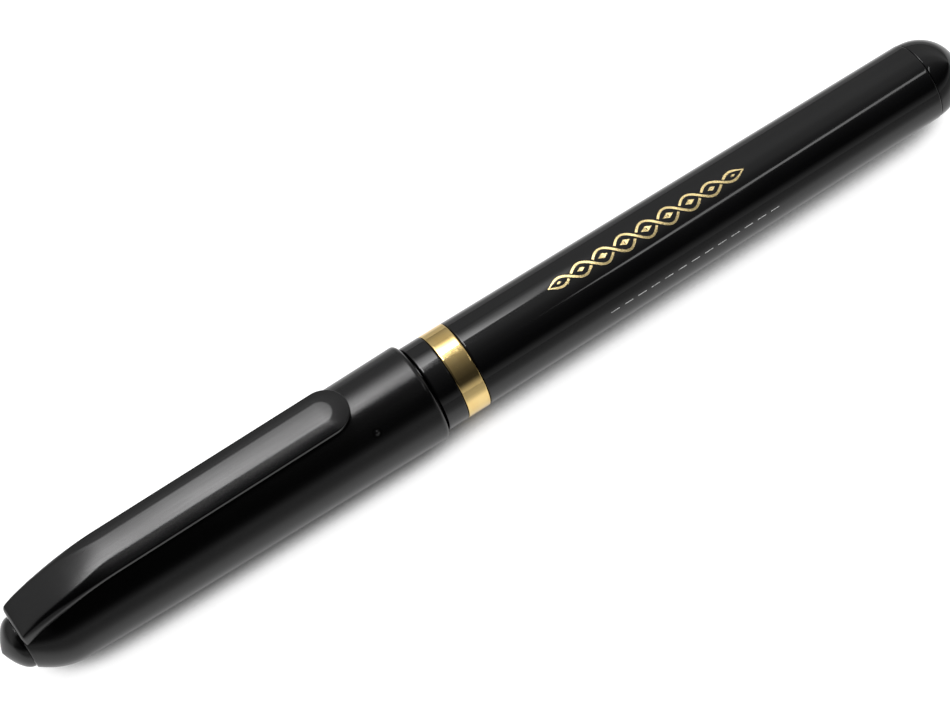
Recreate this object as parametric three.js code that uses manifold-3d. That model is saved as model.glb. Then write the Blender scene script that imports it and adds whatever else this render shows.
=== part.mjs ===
// A capped felt-tip pen, built as its separate pieces, in millimetres.
// X runs along the pen from the closed end of the cap to the tail, and Z is up.
// The closed pen lies on the plane Z = 0 with its clip straight up.
import * as THREE from 'three';
import { mergeVertices } from 'three/addons/utils/BufferGeometryUtils.js';
import Module from 'manifold-3d';

const wasm = await Module();
wasm.setup();

// Facets round the turned pieces. One facet of each faces straight down.
const turnFacets = 24;
const nibFacets = 24;
const tubeFacets = 12;

// Clearances between neighbouring pieces.
const pressGap = 0.1;
const filmGap = 0.05;
const runningGap = 0.12;
const lipGap = 0.3;
const clipSeatGap = 0.15;
const slotGap = 0.25;

// Small edges that many pieces share, and how far joins and cuts reach.
const edgeBreak = 0.2;
const leadIn = 0.3;
const joinDepth = 0.3;
const cutOver = 1;

// Lengths of what shows along the closed pen, from the cap's dome to the tail.
const capDomeLength = 2.7;
const capLength = 56.55;
const collarLength = 2.8;
const ringLength = 3.1;
const barrelLength = 68.4;
const tailDomeLength = 5.5;

// Ink store: a fibre core in a thin film, with a breather tube along its side.
const coreRadius = 3.9;
const filmWall = 0.15;
const breatherRadius = 0.5;
const breatherBore = 0.3;
const breatherInset = 2;

// Barrel and its trim.
const spigotWall = 0.45;
const spigotLength = 9.5;
const spigotLead = 0.8;
const barrelWall = 1.05;
const barrelTaper = 0.5;
const barrelBoreTaper = 0.2;
const barrelRibCount = 6;
const barrelRibWidth = 0.6;
const barrelRibInset = 1;
const barrelEdge = 0.15;
const collarStep = 0.03;
const ringStep = 0.03;
const ringEdge = 0.12;

// Tail plug, pressed into the open end of the barrel.
const tailDomeStep = 0.2;
const tailSpigotLength = 7.5;
const tailSpigotLead = 0.6;
const tailSpigotWall = 0.95;
const tailDomeWall = 2.4;
const tailHollowCone = 1.5;
const tailPressReach = 2.4;
const tailPressRib = 0.9;
const tailPressRoot = 2;

// Front section: grip, snap ridge and nose.
const gripLength = 26;
const gripWall = 0.8;
const gripTaper = 0.35;
const gripShoulder = 0.4;
const gripShoulderLength = 0.6;
const gripRingCount = 5;
const gripRingPitch = 2;
const gripRingDepth = 0.22;
const gripRingHalf = 0.35;
const gripRingStart = 9;
const ridgeHeight = 0.28;
const ridgeLength = 1.2;
const ridgeSlope = 0.42;
const ridgeSetback = 4.2;
const noseRadius = 3.4;
const noseLength = 5;
const noseEdge = 0.5;
const socketDepth = 11;
const socketFloor = 0.5;
const guideWall = 0.9;
const guideLength = 10.5;
const chamberRadius = 3.55;
const guideRibCount = 4;
const guideRibWidth = 0.7;
const airGrooveWidth = 0.5;
const airGrooveDepth = 0.4;

// Nib and the cone that holds it.
const nibRadius = 1;
const nibReach = 4;
const nibPoint = 1.8;
const nibInkDepth = 5.5;
const nibTail = 1.4;
const holderConeLength = 4.8;
const holderTipWall = 0.5;
const holderTipEdge = 0.3;
const holderSpigotRadius = 2.2;
const holderSpigotLength = 3.3;

// Inner cap, which seals on the nose round the nib.
const innerCapWall = 0.7;
const innerCapFlute = 0.44;
const innerCapFluteCount = 6;
const innerCapFluteWidth = 1;
const innerCapNibRoom = 4;
const innerCapNibSide = 0.3;
const innerCapFloor = 1;
const innerCapFloorCone = 1.5;
const innerCapFloorFlare = 0.8;
const innerCapSealLength = 5;
const innerCapSealStep = 0.5;
const innerCapShoulderGap = 0.8;

// Cap shell.
const capWall = 1.06;
const capBeadHeight = 0.12;
const capBeadLength = 0.8;
const capBeadSlope = 0.3;
const capBeadSetback = 3;
const capFrontTaper = 0.38;
const capFrontTaperLength = 35;
const capRearTaper = 0.38;
const capShoulderLength = 5.5;
const capRimRadius = 3.65;
const capEndWall = 1.6;
const capEndBoreStep = 0.25;
const capInsideShoulder = 6;
const capInsideRound = 0.3;
const capSeatEase = 1;
const capLipRound = 0.6;
const capMouthLead = 0.35;
const capMouthFlare = 0.25;
const capBoreTaper = 0.3;
const gateRadius = 0.65;
const gateNub = 0.28;
const gateDepth = 0.14;
const gateSetback = 8.25;
const gateAngle = 42.5;

// Plug that closes the hole in the cap's end.
const capDomeRadius = 3.4;
const capDomeCurve = 0.85;
const plugSpigotRadius = 2.4;
const plugSpigotLength = 4.1;
const plugSpigotBore = 1.5;
const plugBeadHeight = 0.22;
const plugBeadRise = 0.15;
const plugBeadLength = 0.9;
const plugHollowDepth = 0.8;

// Clip. Heights are above the pen's axis, and widths are half widths.
const clipLength = 47.2;
const clipRiseLength = 14;
const clipTipLift = 0.45;
const clipTipBevel = 2.1;
const clipArmWidth = 3.2;
const clipArmHeight = 7;
const clipArmSide = 0.6;
const clipTopWidth = 1.52;
const clipTopHeight = 8.12;
const clipRootWidth = 2.5;
const clipRootHeight = 2.8;
const clipRootSide = 1.3;
const clipRootTopWidth = 2.35;
const clipRootTopHeight = 4.7;
const clipRootSteps = 10;
const clipTipSteps = 6;
const clipChannelWidth = 2.1;
const clipChannelDepth = 0.5;
const clipPadRadius = 1.3;
const clipPadGap = 0.3;
const clipPadChamfer = 0.35;
const tongueThickness = 1.4;
const tongueWidth = 1.2;
const tongueHook = 0.5;
const tongueHookHeight = 0.7;

// How fast the clip's widths and heights change along its rise, as powers of the rise.
const clipWidthGrowth = 0.4;
const clipTopGrowth = 0.75;
const clipFacetNarrowing = 10;
const clipStepGrowth = 1.3;

// Radii, worked out from the ink store to the outside.
const filmRadius = coreRadius + filmGap + filmWall;
const socketRadius = filmRadius + pressGap;
const spigotRadius = socketRadius + spigotWall;
const barrelBore = spigotRadius + pressGap;
const barrelRadius = barrelBore + barrelWall;
const barrelTailRadius = barrelRadius - barrelTaper;
const barrelTailBore = barrelBore - barrelBoreTaper;
const tailDomeRadius = barrelTailRadius - tailDomeStep;
const collarRadius = barrelRadius + collarStep;
const ringRadius = barrelRadius + ringStep;
const gripRadius = socketRadius + gripWall;
const gripFrontRadius = gripRadius - gripTaper;
const ridgeRadius = gripRadius + ridgeHeight;
const capBeadRadius = ridgeRadius + runningGap;
const capBore = capBeadRadius + capBeadHeight;
const capRadius = capBore + capWall;
const capMidRadius = capRadius - capFrontTaper;
const capShoulderRadius = capMidRadius - capRearTaper;
const nibBore = nibRadius + pressGap;
const innerCapBore = noseRadius + runningGap;
const innerCapRadius = innerCapBore + innerCapWall;
const capSeatRadius = innerCapRadius + innerCapFlute + pressGap;
const plugHole = plugSpigotRadius + pressGap;
const plugBeadRadius = plugSpigotRadius + plugBeadHeight;
const breatherOffset = coreRadius - breatherRadius;

// Places along X, measured from the rim of the cap's closed end.
const collarX = capLength + lipGap;
const ringX = collarX + collarLength + pressGap;
const barrelX = ringX + ringLength + pressGap;
const barrelEndX = barrelX + barrelLength;
const tailDomeX = barrelEndX + pressGap;
const tailEndX = tailDomeX + tailDomeLength;
const gripEndX = collarX - gripLength;
const noseEndX = gripEndX - noseLength;
const holderSpigotX = noseEndX + holderSpigotLength;
const nibTipX = noseEndX - holderConeLength - nibReach;
const socketFloorX = collarX - socketDepth;
const spigotEndX = collarX + collarLength + spigotLength;
const tailSpigotX = barrelEndX - tailSpigotLength;
const tailPressX = tailSpigotX - tailPressReach;
const coreX = socketFloorX + pressGap;
const coreEndX = tailPressX - pressGap;
const nibEndX = coreX + nibInkDepth;
const innerCapMouthX = gripEndX - innerCapShoulderGap;
const innerCapFloorX = nibTipX - innerCapNibRoom;
const tongueX = capEndWall + slotGap + pressGap;
const tongueEndX = tongueX + tongueThickness;
const innerCapRearX = tongueEndX + tongueHook + slotGap * 3;
const capSeatX = capEndWall + capInsideShoulder;
const capBeadX = capLength - capBeadSetback;

// The origin is below the middle of the pen, on the plane that it lies on.
const originX = (tailEndX - capDomeLength) / 2;

const blackSatin = { color: 0x121213, roughness: 0.36 };
const blackGloss = { color: 0x0b0b0c, roughness: 0.12 };
const gold = { color: 0xe0b64c, roughness: 0.16, metalness: 1 };
const frostedWhite = { color: 0xd8dadb, roughness: 0.45 };
const inkedFibre = { color: 0x1d1c22, roughness: 0.95 };
const clearFilm = { color: 0xb9c2c8, roughness: 0.2 };
const darkGrey = { color: 0x2b2c2e, roughness: 0.3 };

const { lerp, degToRad } = THREE.MathUtils;

// Makes a solid of a closed geometry, with its shared corners joined by place.
function solidOf(geometry) {
  geometry.deleteAttribute('normal');
  geometry.deleteAttribute('uv');
  const joined = mergeVertices(geometry, 1e-4);
  const corners = Array.from(joined.index.array);
  const triangles = [];
  for (let i = 0; i < corners.length; i += 3) {
    const [a, b, c] = corners.slice(i, i + 3);
    if (a !== b && b !== c && c !== a) {
      triangles.push(a, b, c);
    }
  }
  return new wasm.Manifold(new wasm.Mesh({
    numProp: 3,
    vertProperties: Float32Array.from(joined.attributes.position.array),
    triVerts: Uint32Array.from(triangles),
  }));
}

// Turns an outline of [x, radius] points about the pen's axis.
// The radius is that of the middle of each facet. The outline starts and ends on the axis,
// or closes on itself, and its outer side runs towards the tail.
function turned(outline, facets = turnFacets) {
  const toCorner = 1 / Math.cos(Math.PI / facets);
  const points = outline.map(([x, radius]) => new THREE.Vector2(radius * toCorner, x));
  const geometry = new THREE.LatheGeometry(points, facets, Math.PI / facets);
  geometry.rotateZ(-Math.PI / 2);
  return solidOf(geometry);
}

// Turns a tube from its outer and inner outlines, both given from front to back.
function turnedTube(outer, inner, facets = turnFacets) {
  return turned([...outer, ...inner.slice().reverse(), outer[0]], facets);
}

// A small round boss or hole, turned about Z, with its outline given as [radius, z].
function pillar(outline, facets) {
  const points = outline.map(([radius, z]) => new THREE.Vector2(radius, z));
  const geometry = new THREE.LatheGeometry(points, facets);
  geometry.rotateX(Math.PI / 2);
  return geometry;
}

// A block between two corners, turned about the pen's axis by an angle in degrees.
function block(low, high, angle = 0) {
  const size = high.map((value, i) => value - low[i]);
  const geometry = new THREE.BoxGeometry(...size);
  geometry.translate(...low.map((value, i) => value + size[i] / 2));
  geometry.rotateX(degToRad(angle));
  return solidOf(geometry);
}

// Blocks standing out along Z, repeated evenly round the axis.
function spokes(count, low, high, startAngle = 0) {
  let all = null;
  for (let i = 0; i < count; i += 1) {
    const spoke = block(low, high, startAngle + i * 360 / count);
    all = all ? all.add(spoke) : spoke;
  }
  return all;
}

// Radius of an outline of [x, radius] points at a place along X.
function radiusAt(outline, x) {
  const next = Math.max(1, outline.findIndex(([px]) => px >= x));
  const [x0, r0] = outline[next - 1];
  const [x1, r1] = outline[next];
  return r0 + (r1 - r0) * (x - x0) / (x1 - x0);
}

// The cap's outside: a rounded shoulder, a gentle curve and a straight taper to the lip.
function capOutside(offset = 0) {
  const vector = (x, radius) => new THREE.Vector2(x, radius + offset);
  const midX = capLength - capFrontTaperLength;
  const shoulderEnd = vector(capShoulderLength, capShoulderRadius);
  const shoulder = new THREE.CubicBezierCurve(
    vector(0, capRimRadius),
    vector(0.27 * capShoulderLength, lerp(capRimRadius, capShoulderRadius, 0.5)),
    vector(0.55 * capShoulderLength, lerp(capRimRadius, capShoulderRadius, 0.93)),
    shoulderEnd,
  );
  const body = new THREE.QuadraticBezierCurve(
    shoulderEnd,
    vector(lerp(capShoulderLength, midX, 0.45), capMidRadius - 0.3 * capRearTaper),
    vector(midX, capMidRadius),
  );
  const lipStart = vector(capLength, capRadius);
  const points = [...shoulder.getPoints(7), ...body.getPoints(5).slice(1), lipStart];
  return points.map((point) => [point.x, point.y]);
}

// The cap's rounded lip, as outline points that end on the mouth's face.
function capLip() {
  const outside = capOutside();
  const centreX = capLength - capLipRound;
  const centreRadius = radiusAt(outside, centreX) - capLipRound;
  const steps = 4;
  const arc = [];
  for (let i = 0; i <= steps; i += 1) {
    const angle = (Math.PI / 2) * (1 - i / steps);
    arc.push([centreX + capLipRound * Math.cos(angle), centreRadius + capLipRound * Math.sin(angle)]);
  }
  return arc;
}

// The cap's tapered shell, bored for its plug and the inner cap, and slotted for the clip.
function capShell() {
  const outer = [[0, plugHole], ...capOutside().slice(0, -1), ...capLip()];
  const beadEnd = capBeadX + capBeadLength;
  const inner = [
    [capEndWall, plugHole],
    [capEndWall, capRimRadius - capEndBoreStep],
    [lerp(capEndWall, capSeatX, 0.43), capSeatRadius - capInsideRound],
    [capSeatX, capSeatRadius],
    [gripEndX, capSeatRadius],
    [gripEndX + capSeatEase, capBore - capBoreTaper],
    [capBeadX - capBeadSlope, capBore],
    [capBeadX, capBeadRadius],
    [beadEnd - capBeadSlope, capBeadRadius],
    [beadEnd, capBore],
    [capLength - capMouthLead, capBore],
    [capLength, capBore + capMouthFlare],
  ];
  const slot = block(
    [tongueX - slotGap, -tongueWidth - pressGap, plugHole],
    [tongueEndX + slotGap, tongueWidth + pressGap, capRadius + cutOver],
  );
  return turnedTube(outer, inner).subtract(slot).subtract(gateRecess());
}

// The round mark that the moulding gate leaves: a shallow ring with a nub in the middle.
function gateRecess() {
  const x = capLength - gateSetback;
  const surface = radiusAt(capOutside(), x);
  const floor = surface - gateDepth;
  const ring = pillar([
    [gateNub, floor],
    [gateRadius, floor],
    [gateRadius, surface + cutOver],
    [gateNub, surface + cutOver],
    [gateNub, floor],
  ], tubeFacets);
  ring.translate(x, 0, 0);
  ring.rotateX(degToRad(gateAngle));
  return solidOf(ring);
}

// The domed plug in the cap's end, with a hollow spigot and a bead that snaps behind the wall.
function capEndPlug() {
  const dome = [];
  const steps = 7;
  for (let i = 0; i < steps; i += 1) {
    const height = Math.cos((Math.PI / 2) * (i / steps));
    dome.push([-capDomeLength * height, capDomeRadius * (1 - height ** 2) ** capDomeCurve]);
  }
  const beadX = capEndWall + pressGap;
  const spigotTip = plugSpigotRadius - pressGap;
  return turned([
    ...dome,
    [-pressGap, capDomeRadius],
    [-pressGap, plugSpigotRadius],
    [beadX, plugSpigotRadius],
    [beadX + plugBeadRise, plugBeadRadius],
    [beadX + plugBeadLength, spigotTip],
    [plugSpigotLength, spigotTip],
    [plugSpigotLength, plugSpigotBore],
    [-plugHollowDepth, plugSpigotBore],
    [-plugHollowDepth, 0],
  ]);
}

// How far along the clip's rise a place is: 0 at the root and 1 where the arm begins.
function riseAt(x) {
  return 1 - (1 - Math.min(x / clipRiseLength, 1)) ** 2;
}

// How far the arm has lifted at a place along X, evenly from the end of its rise to the tip.
function liftAt(x) {
  return clipTipLift * Math.max(0, x - clipRiseLength) / (clipLength - clipRiseLength);
}

// The clip's cross-section at a place along X, as [half width, height] from below to the top.
function clipLevels(x) {
  const rise = riseAt(x);
  const lift = liftAt(x);
  const width = lerp(clipRootWidth, clipArmWidth, rise ** clipWidthGrowth);
  const edge = [width, lerp(clipRootHeight, clipArmHeight, rise) + lift];
  const side = [width, edge[1] + lerp(clipRootSide, clipArmSide, rise)];
  const top = [
    lerp(clipRootTopWidth, clipTopWidth, rise ** clipFacetNarrowing),
    lerp(clipRootTopHeight, clipTopHeight, rise ** clipTopGrowth) + lift,
  ];
  const bevel = [
    lerp(side[0], top[0], lerp(0.3, 0.5, rise)),
    lerp(side[1], top[1], lerp(0.7, 0.5, rise)),
  ];
  return [edge, side, bevel, top];
}

// One edge line of the clip, from its root on the +Y side, round the tip and back on the -Y side.
// The tip ends in a small flat, half a step to each side of the middle.
function clipEdge(level, tipX) {
  const armWidth = clipLevels(clipLength)[level][0];
  const centreX = tipX - armWidth;
  const near = [];
  for (let i = 0; i <= clipRootSteps; i += 1) {
    const x = clipRiseLength * (i / clipRootSteps) ** clipStepGrowth;
    near.push([x, ...clipLevels(x)[level]]);
  }
  for (let i = 0; i <= clipTipSteps; i += 1) {
    const angle = (Math.PI / 2) * (1 - i / (clipTipSteps + 0.5));
    const x = centreX + armWidth * Math.cos(angle);
    near.push([x, armWidth * Math.sin(angle), clipLevels(x)[level][1]]);
  }
  const far = near.slice().reverse().map(([x, y, z]) => [x, -y, z]);
  return [...near, ...far];
}

// The clip's body as a skin over its edge lines, closed above, below and at the root.
function clipBody() {
  const bevels = [0, 0, 0.5 * clipTipBevel, clipTipBevel];
  const edges = bevels.map((bevel, level) => clipEdge(level, clipLength - bevel));
  const count = edges[0].length;
  const at = (level, i) => level * count + i;
  const triangles = [];
  const quad = (a, b, c, d) => triangles.push(a, b, c, a, c, d);
  const last = edges.length - 1;
  for (let level = 0; level < last; level += 1) {
    for (let i = 0; i + 1 < count; i += 1) {
      quad(at(level, i), at(level + 1, i), at(level + 1, i + 1), at(level, i + 1));
    }
    quad(at(level, 0), at(level, count - 1), at(level + 1, count - 1), at(level + 1, 0));
  }
  for (let i = 0; i + 1 < count / 2; i += 1) {
    const j = count - 1 - i;
    quad(at(0, i), at(0, i + 1), at(0, j - 1), at(0, j));
    quad(at(last, i), at(last, j), at(last, j - 1), at(last, i + 1));
  }
  const geometry = new THREE.BufferGeometry();
  geometry.setAttribute('position', new THREE.Float32BufferAttribute(edges.flat(2), 3));
  geometry.setIndex(triangles);
  return solidOf(geometry);
}

// The shallow channel under the clip's arm, with round ends, sloped as the arm is.
function clipChannel() {
  const startX = clipChannelWidth;
  const endX = clipLength - clipRiseLength - 2 * clipArmWidth - clipPadRadius;
  const shape = new THREE.Shape();
  shape.absarc(startX, 0, clipChannelWidth, Math.PI / 2, 3 * Math.PI / 2);
  shape.absarc(endX, 0, clipChannelWidth, -Math.PI / 2, Math.PI / 2);
  const geometry = new THREE.ExtrudeGeometry(shape, {
    depth: cutOver + clipChannelDepth,
    bevelEnabled: false,
    curveSegments: tubeFacets / 2,
  });
  geometry.translate(0, 0, -cutOver);
  geometry.rotateY(-Math.atan2(clipTipLift, clipLength - clipRiseLength));
  geometry.translate(clipRiseLength, 0, clipArmHeight);
  return solidOf(geometry);
}

// The pad under the clip's tip, just clear of the cap.
function clipPad() {
  const x = clipLength - clipArmWidth;
  const foot = radiusAt(capOutside(), x) + clipPadGap;
  const head = clipLevels(x)[0][1] + joinDepth;
  const pad = pillar([
    [0, foot],
    [0.6 * clipPadRadius, foot],
    [clipPadRadius, foot + clipPadChamfer],
    [clipPadRadius, head],
    [0, head],
  ], tubeFacets);
  pad.translate(x, 0, 0);
  return solidOf(pad);
}

// The tongue that goes down through the cap's shoulder, with a hook at its foot.
function clipTongue() {
  const foot = plugBeadRadius + slotGap;
  const topAt = (x) => clipLevels(x)[3][1] - joinDepth;
  const shape = new THREE.Shape([
    new THREE.Vector2(tongueX, foot),
    new THREE.Vector2(tongueEndX + 0.3 * tongueHook, foot),
    new THREE.Vector2(tongueEndX + tongueHook, foot + 0.6 * tongueHookHeight),
    new THREE.Vector2(tongueEndX, foot + tongueHookHeight),
    new THREE.Vector2(tongueEndX, topAt(tongueEndX)),
    new THREE.Vector2(tongueX, topAt(tongueX)),
  ]);
  const geometry = new THREE.ExtrudeGeometry(shape, { depth: 2 * tongueWidth, bevelEnabled: false });
  geometry.rotateX(Math.PI / 2);
  geometry.translate(0, tongueWidth, 0);
  return solidOf(geometry);
}

// The clip: its body fitted over the cap's shoulder, with its channel, pad and tongue.
function clip() {
  const seat = [
    [-cutOver, 0],
    [-cutOver, capRimRadius + clipSeatGap],
    ...capOutside(clipSeatGap),
    [capLength, 0],
  ];
  return clipBody()
    .subtract(turned(seat))
    .subtract(clipChannel())
    .add(clipPad())
    .add(clipTongue());
}

// A cup on the nose, with a skirt behind its floor and flutes that hold it in the cap.
function innerCap() {
  const sealX = innerCapMouthX - innerCapSealLength;
  const skirtBore = innerCapBore;
  const nibRoom = nibRadius + innerCapNibSide;
  const cup = turned([
    [innerCapFloorX - innerCapFloor, 0],
    [innerCapFloorX - innerCapFloor, skirtBore],
    [innerCapRearX, skirtBore],
    [innerCapRearX, innerCapRadius],
    [innerCapMouthX - leadIn, innerCapRadius],
    [innerCapMouthX, innerCapRadius - edgeBreak],
    [innerCapMouthX, innerCapBore + edgeBreak],
    [innerCapMouthX - innerCapSealStep, innerCapBore],
    [sealX, innerCapBore],
    [sealX - innerCapSealStep, innerCapBore - innerCapSealStep],
    [innerCapFloorX + innerCapFloorCone, nibRoom + innerCapFloorFlare],
    [innerCapFloorX, nibRoom],
    [innerCapFloorX, 0],
  ]);
  const flutes = spokes(
    innerCapFluteCount,
    [capSeatX, -innerCapFluteWidth / 2, innerCapRadius - joinDepth],
    [innerCapMouthX - leadIn, innerCapFluteWidth / 2, innerCapRadius + innerCapFlute],
  );
  return cup.add(flutes);
}

// The shallow rings cut round the grip, as outline points from front to back.
function gripRings() {
  const slope = gripTaper / gripLength;
  const rings = [];
  for (let i = gripRingCount - 1; i >= 0; i -= 1) {
    const x = collarX - gripRingStart - i * gripRingPitch;
    const radius = gripRadius - slope * (collarX - x);
    rings.push([x - gripRingHalf, radius], [x, radius - gripRingDepth], [x + gripRingHalf, radius]);
  }
  return rings;
}

// The front section: nose, grip, snap ridge, collar and the spigot that enters the barrel.
function frontSection() {
  const ridgeX = collarX - ridgeSetback - ridgeLength;
  const collarEndX = collarX + collarLength;
  const outer = [
    [noseEndX, noseRadius - noseEdge],
    [noseEndX + noseEdge, noseRadius],
    [gripEndX, noseRadius],
    [gripEndX, gripFrontRadius - gripShoulder],
    [gripEndX + gripShoulderLength, gripFrontRadius],
    ...gripRings(),
    [ridgeX, gripRadius],
    [ridgeX + ridgeSlope, ridgeRadius],
    [ridgeX + ridgeLength - ridgeSlope, ridgeRadius],
    [ridgeX + ridgeLength, gripRadius],
    [collarX, gripRadius],
    [collarX, collarRadius - edgeBreak],
    [collarX + edgeBreak, collarRadius],
    [collarEndX, collarRadius],
    [collarEndX, spigotRadius],
    [spigotEndX - spigotLead, spigotRadius],
    [spigotEndX, spigotRadius - edgeBreak],
  ];
  const holderSocket = holderSpigotRadius + pressGap;
  const holderSocketX = holderSpigotX + pressGap;
  const guideRadius = nibBore + guideWall;
  const guideEndX = socketFloorX - socketFloor;
  const chamberX = socketFloorX - guideLength;
  const inner = [
    [noseEndX, holderSocket],
    [holderSocketX, holderSocket],
    [holderSocketX, nibBore],
    [guideEndX, nibBore],
    [guideEndX, guideRadius],
    [chamberX, guideRadius],
    [chamberX, chamberRadius],
    [socketFloorX, chamberRadius],
    [socketFloorX, socketRadius],
    [spigotEndX, socketRadius],
  ];
  const ribs = spokes(
    guideRibCount,
    [chamberX - joinDepth, -guideRibWidth / 2, guideRadius - joinDepth],
    [guideEndX, guideRibWidth / 2, chamberRadius + joinDepth],
    180 / guideRibCount,
  );
  const airGroove = block(
    [holderSocketX - edgeBreak, -airGrooveWidth / 2, 0.5 * nibRadius],
    [chamberX + cutOver, airGrooveWidth / 2, nibBore + airGrooveDepth],
  );
  return turnedTube(outer, inner).add(ribs).subtract(airGroove);
}

// The cone that holds the nib, with a spigot in the nose and an air groove along its bore.
function nibHolder() {
  const tipX = noseEndX - holderConeLength;
  const baseX = noseEndX - pressGap;
  const baseRadius = noseRadius - noseEdge;
  const tipRadius = nibBore + holderTipWall;
  const outer = [
    [tipX, tipRadius - edgeBreak],
    [tipX + holderTipEdge, tipRadius],
    [baseX - noseEdge, baseRadius],
    [baseX, baseRadius],
    [baseX, holderSpigotRadius],
    [holderSpigotX - leadIn, holderSpigotRadius],
    [holderSpigotX, holderSpigotRadius - edgeBreak],
  ];
  const inner = [[tipX, nibBore], [holderSpigotX, nibBore]];
  const airGroove = block(
    [tipX - cutOver, -airGrooveWidth / 2, 0.5 * nibRadius],
    [holderSpigotX + cutOver, airGrooveWidth / 2, nibBore + 0.3 * airGrooveDepth],
  );
  return turnedTube(outer, inner, nibFacets).subtract(airGroove);
}

// The fibre nib: a rounded point, a long shank and a tapered end in the ink store.
function fibreNib() {
  const point = [];
  const steps = 6;
  for (let i = 0; i <= steps; i += 1) {
    const angle = (Math.PI / 2) * (i / steps);
    point.push([nibTipX + nibPoint * (1 - Math.cos(angle)), nibRadius * Math.sin(angle)]);
  }
  return turned([
    ...point,
    [nibEndX - nibTail, nibRadius],
    [nibEndX, 0.5 * nibRadius],
    [nibEndX, 0],
  ], nibFacets);
}

// The metal ring between the collar and the barrel.
function trimRing() {
  const endX = ringX + ringLength;
  const outer = [
    [ringX, ringRadius - ringEdge],
    [ringX + ringEdge, ringRadius],
    [endX - ringEdge, ringRadius],
    [endX, ringRadius - ringEdge],
  ];
  const bore = spigotRadius + pressGap;
  return turnedTube(outer, [[ringX, bore], [endX, bore]]);
}

// The tapered barrel, with ribs inside that centre the ink store.
function barrel() {
  const outer = [
    [barrelX, barrelRadius - barrelEdge],
    [barrelX + barrelEdge, barrelRadius],
    [barrelEndX - barrelEdge, barrelTailRadius],
    [barrelEndX, barrelTailRadius - barrelEdge],
  ];
  const shell = turnedTube(outer, [[barrelX, barrelBore], [barrelEndX, barrelTailBore]]);
  const ribs = spokes(
    barrelRibCount,
    [spigotEndX + barrelRibInset, -barrelRibWidth / 2, filmRadius + pressGap],
    [tailSpigotX - barrelRibInset, barrelRibWidth / 2, barrelBore + joinDepth],
    180 / barrelRibCount,
  );
  return shell.add(ribs);
}

// The domed tail plug, with a hollow spigot and two crossed ribs that hold the ink store.
function tailPlug() {
  const spigot = barrelTailBore - pressGap;
  const bore = spigot - tailSpigotWall;
  const hollowEndX = tailEndX - tailDomeWall;
  const dome = [];
  const steps = 8;
  for (let i = 0; i <= steps; i += 1) {
    const angle = (Math.PI / 2) * (i / steps);
    dome.push([tailDomeX + tailDomeLength * Math.sin(angle), tailDomeRadius * Math.cos(angle)]);
  }
  const shell = turned([
    [hollowEndX, 0],
    [hollowEndX, 0.5 * bore],
    [hollowEndX - tailHollowCone, bore],
    [tailSpigotX, bore],
    [tailSpigotX, spigot - edgeBreak],
    [tailSpigotX + tailSpigotLead, spigot],
    [tailDomeX, spigot],
    ...dome,
  ]);
  const half = tailPressRib / 2;
  const low = [tailPressX, -half, -bore - edgeBreak];
  const high = [tailSpigotX + tailPressRoot, half, bore + edgeBreak];
  return shell.add(block(low, high)).add(block(low, high, 90));
}

// The fibre core of the ink store, bored for the nib and grooved for the breather tube.
function inkReservoir() {
  const core = turned([
    [coreX, 0],
    [coreX, coreRadius - leadIn],
    [coreX + leadIn, coreRadius],
    [coreEndX - leadIn, coreRadius],
    [coreEndX, coreRadius - leadIn],
    [coreEndX, 0],
  ]);
  const nibSocket = turned([
    [coreX - cutOver, 0],
    [coreX - cutOver, nibBore],
    [nibEndX + pressGap, nibBore],
    [nibEndX + pressGap, 0],
  ], nibFacets);
  const width = breatherRadius + pressGap;
  const groove = block(
    [coreX - cutOver, -width, -coreRadius - cutOver],
    [coreEndX + cutOver, width, -breatherOffset + width],
  );
  return core.subtract(nibSocket).subtract(groove);
}

// The thin film wrapped round the fibre core.
function reservoirFilm() {
  const inner = filmRadius - filmWall;
  return turnedTube(
    [[coreX, filmRadius], [coreEndX, filmRadius]],
    [[coreX, inner], [coreEndX, inner]],
  );
}

// The thin tube that lets air past the ink.
function breatherTube() {
  const startX = coreX + breatherInset;
  const endX = coreEndX - breatherInset;
  const tube = new THREE.LatheGeometry([
    new THREE.Vector2(breatherRadius, startX),
    new THREE.Vector2(breatherRadius, endX),
    new THREE.Vector2(breatherBore, endX),
    new THREE.Vector2(breatherBore, startX),
    new THREE.Vector2(breatherRadius, startX),
  ], tubeFacets);
  tube.rotateZ(-Math.PI / 2);
  tube.translate(0, 0, -breatherOffset);
  return solidOf(tube);
}

// Names a piece, gives it its finish and hangs it in the pen.
function addPiece(name, solid, finish) {
  const { vertProperties, triVerts } = solid.getMesh();
  const geometry = new THREE.BufferGeometry();
  geometry.setAttribute('position', new THREE.BufferAttribute(vertProperties, 3));
  geometry.setIndex(new THREE.BufferAttribute(triVerts, 1));
  geometry.computeVertexNormals();
  const mesh = new THREE.Mesh(geometry, new THREE.MeshStandardMaterial(finish));
  mesh.name = name;
  pen.add(mesh);
}

const pen = new THREE.Group();
pen.position.set(-originX, 0, capRadius);
addPiece('cap_shell', capShell(), blackSatin);
addPiece('clip', clip(), blackSatin);
addPiece('cap_end_plug', capEndPlug(), blackSatin);
addPiece('inner_cap', innerCap(), frostedWhite);
addPiece('front_section', frontSection(), blackGloss);
addPiece('nib_holder', nibHolder(), darkGrey);
addPiece('fibre_nib', fibreNib(), inkedFibre);
addPiece('trim_ring', trimRing(), gold);
addPiece('barrel', barrel(), blackGloss);
addPiece('tail_plug', tailPlug(), blackGloss);
addPiece('ink_reservoir', inkReservoir(), inkedFibre);
addPiece('reservoir_film', reservoirFilm(), clearFilm);
addPiece('breather_tube', breatherTube(), frostedWhite);

export default pen;
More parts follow.
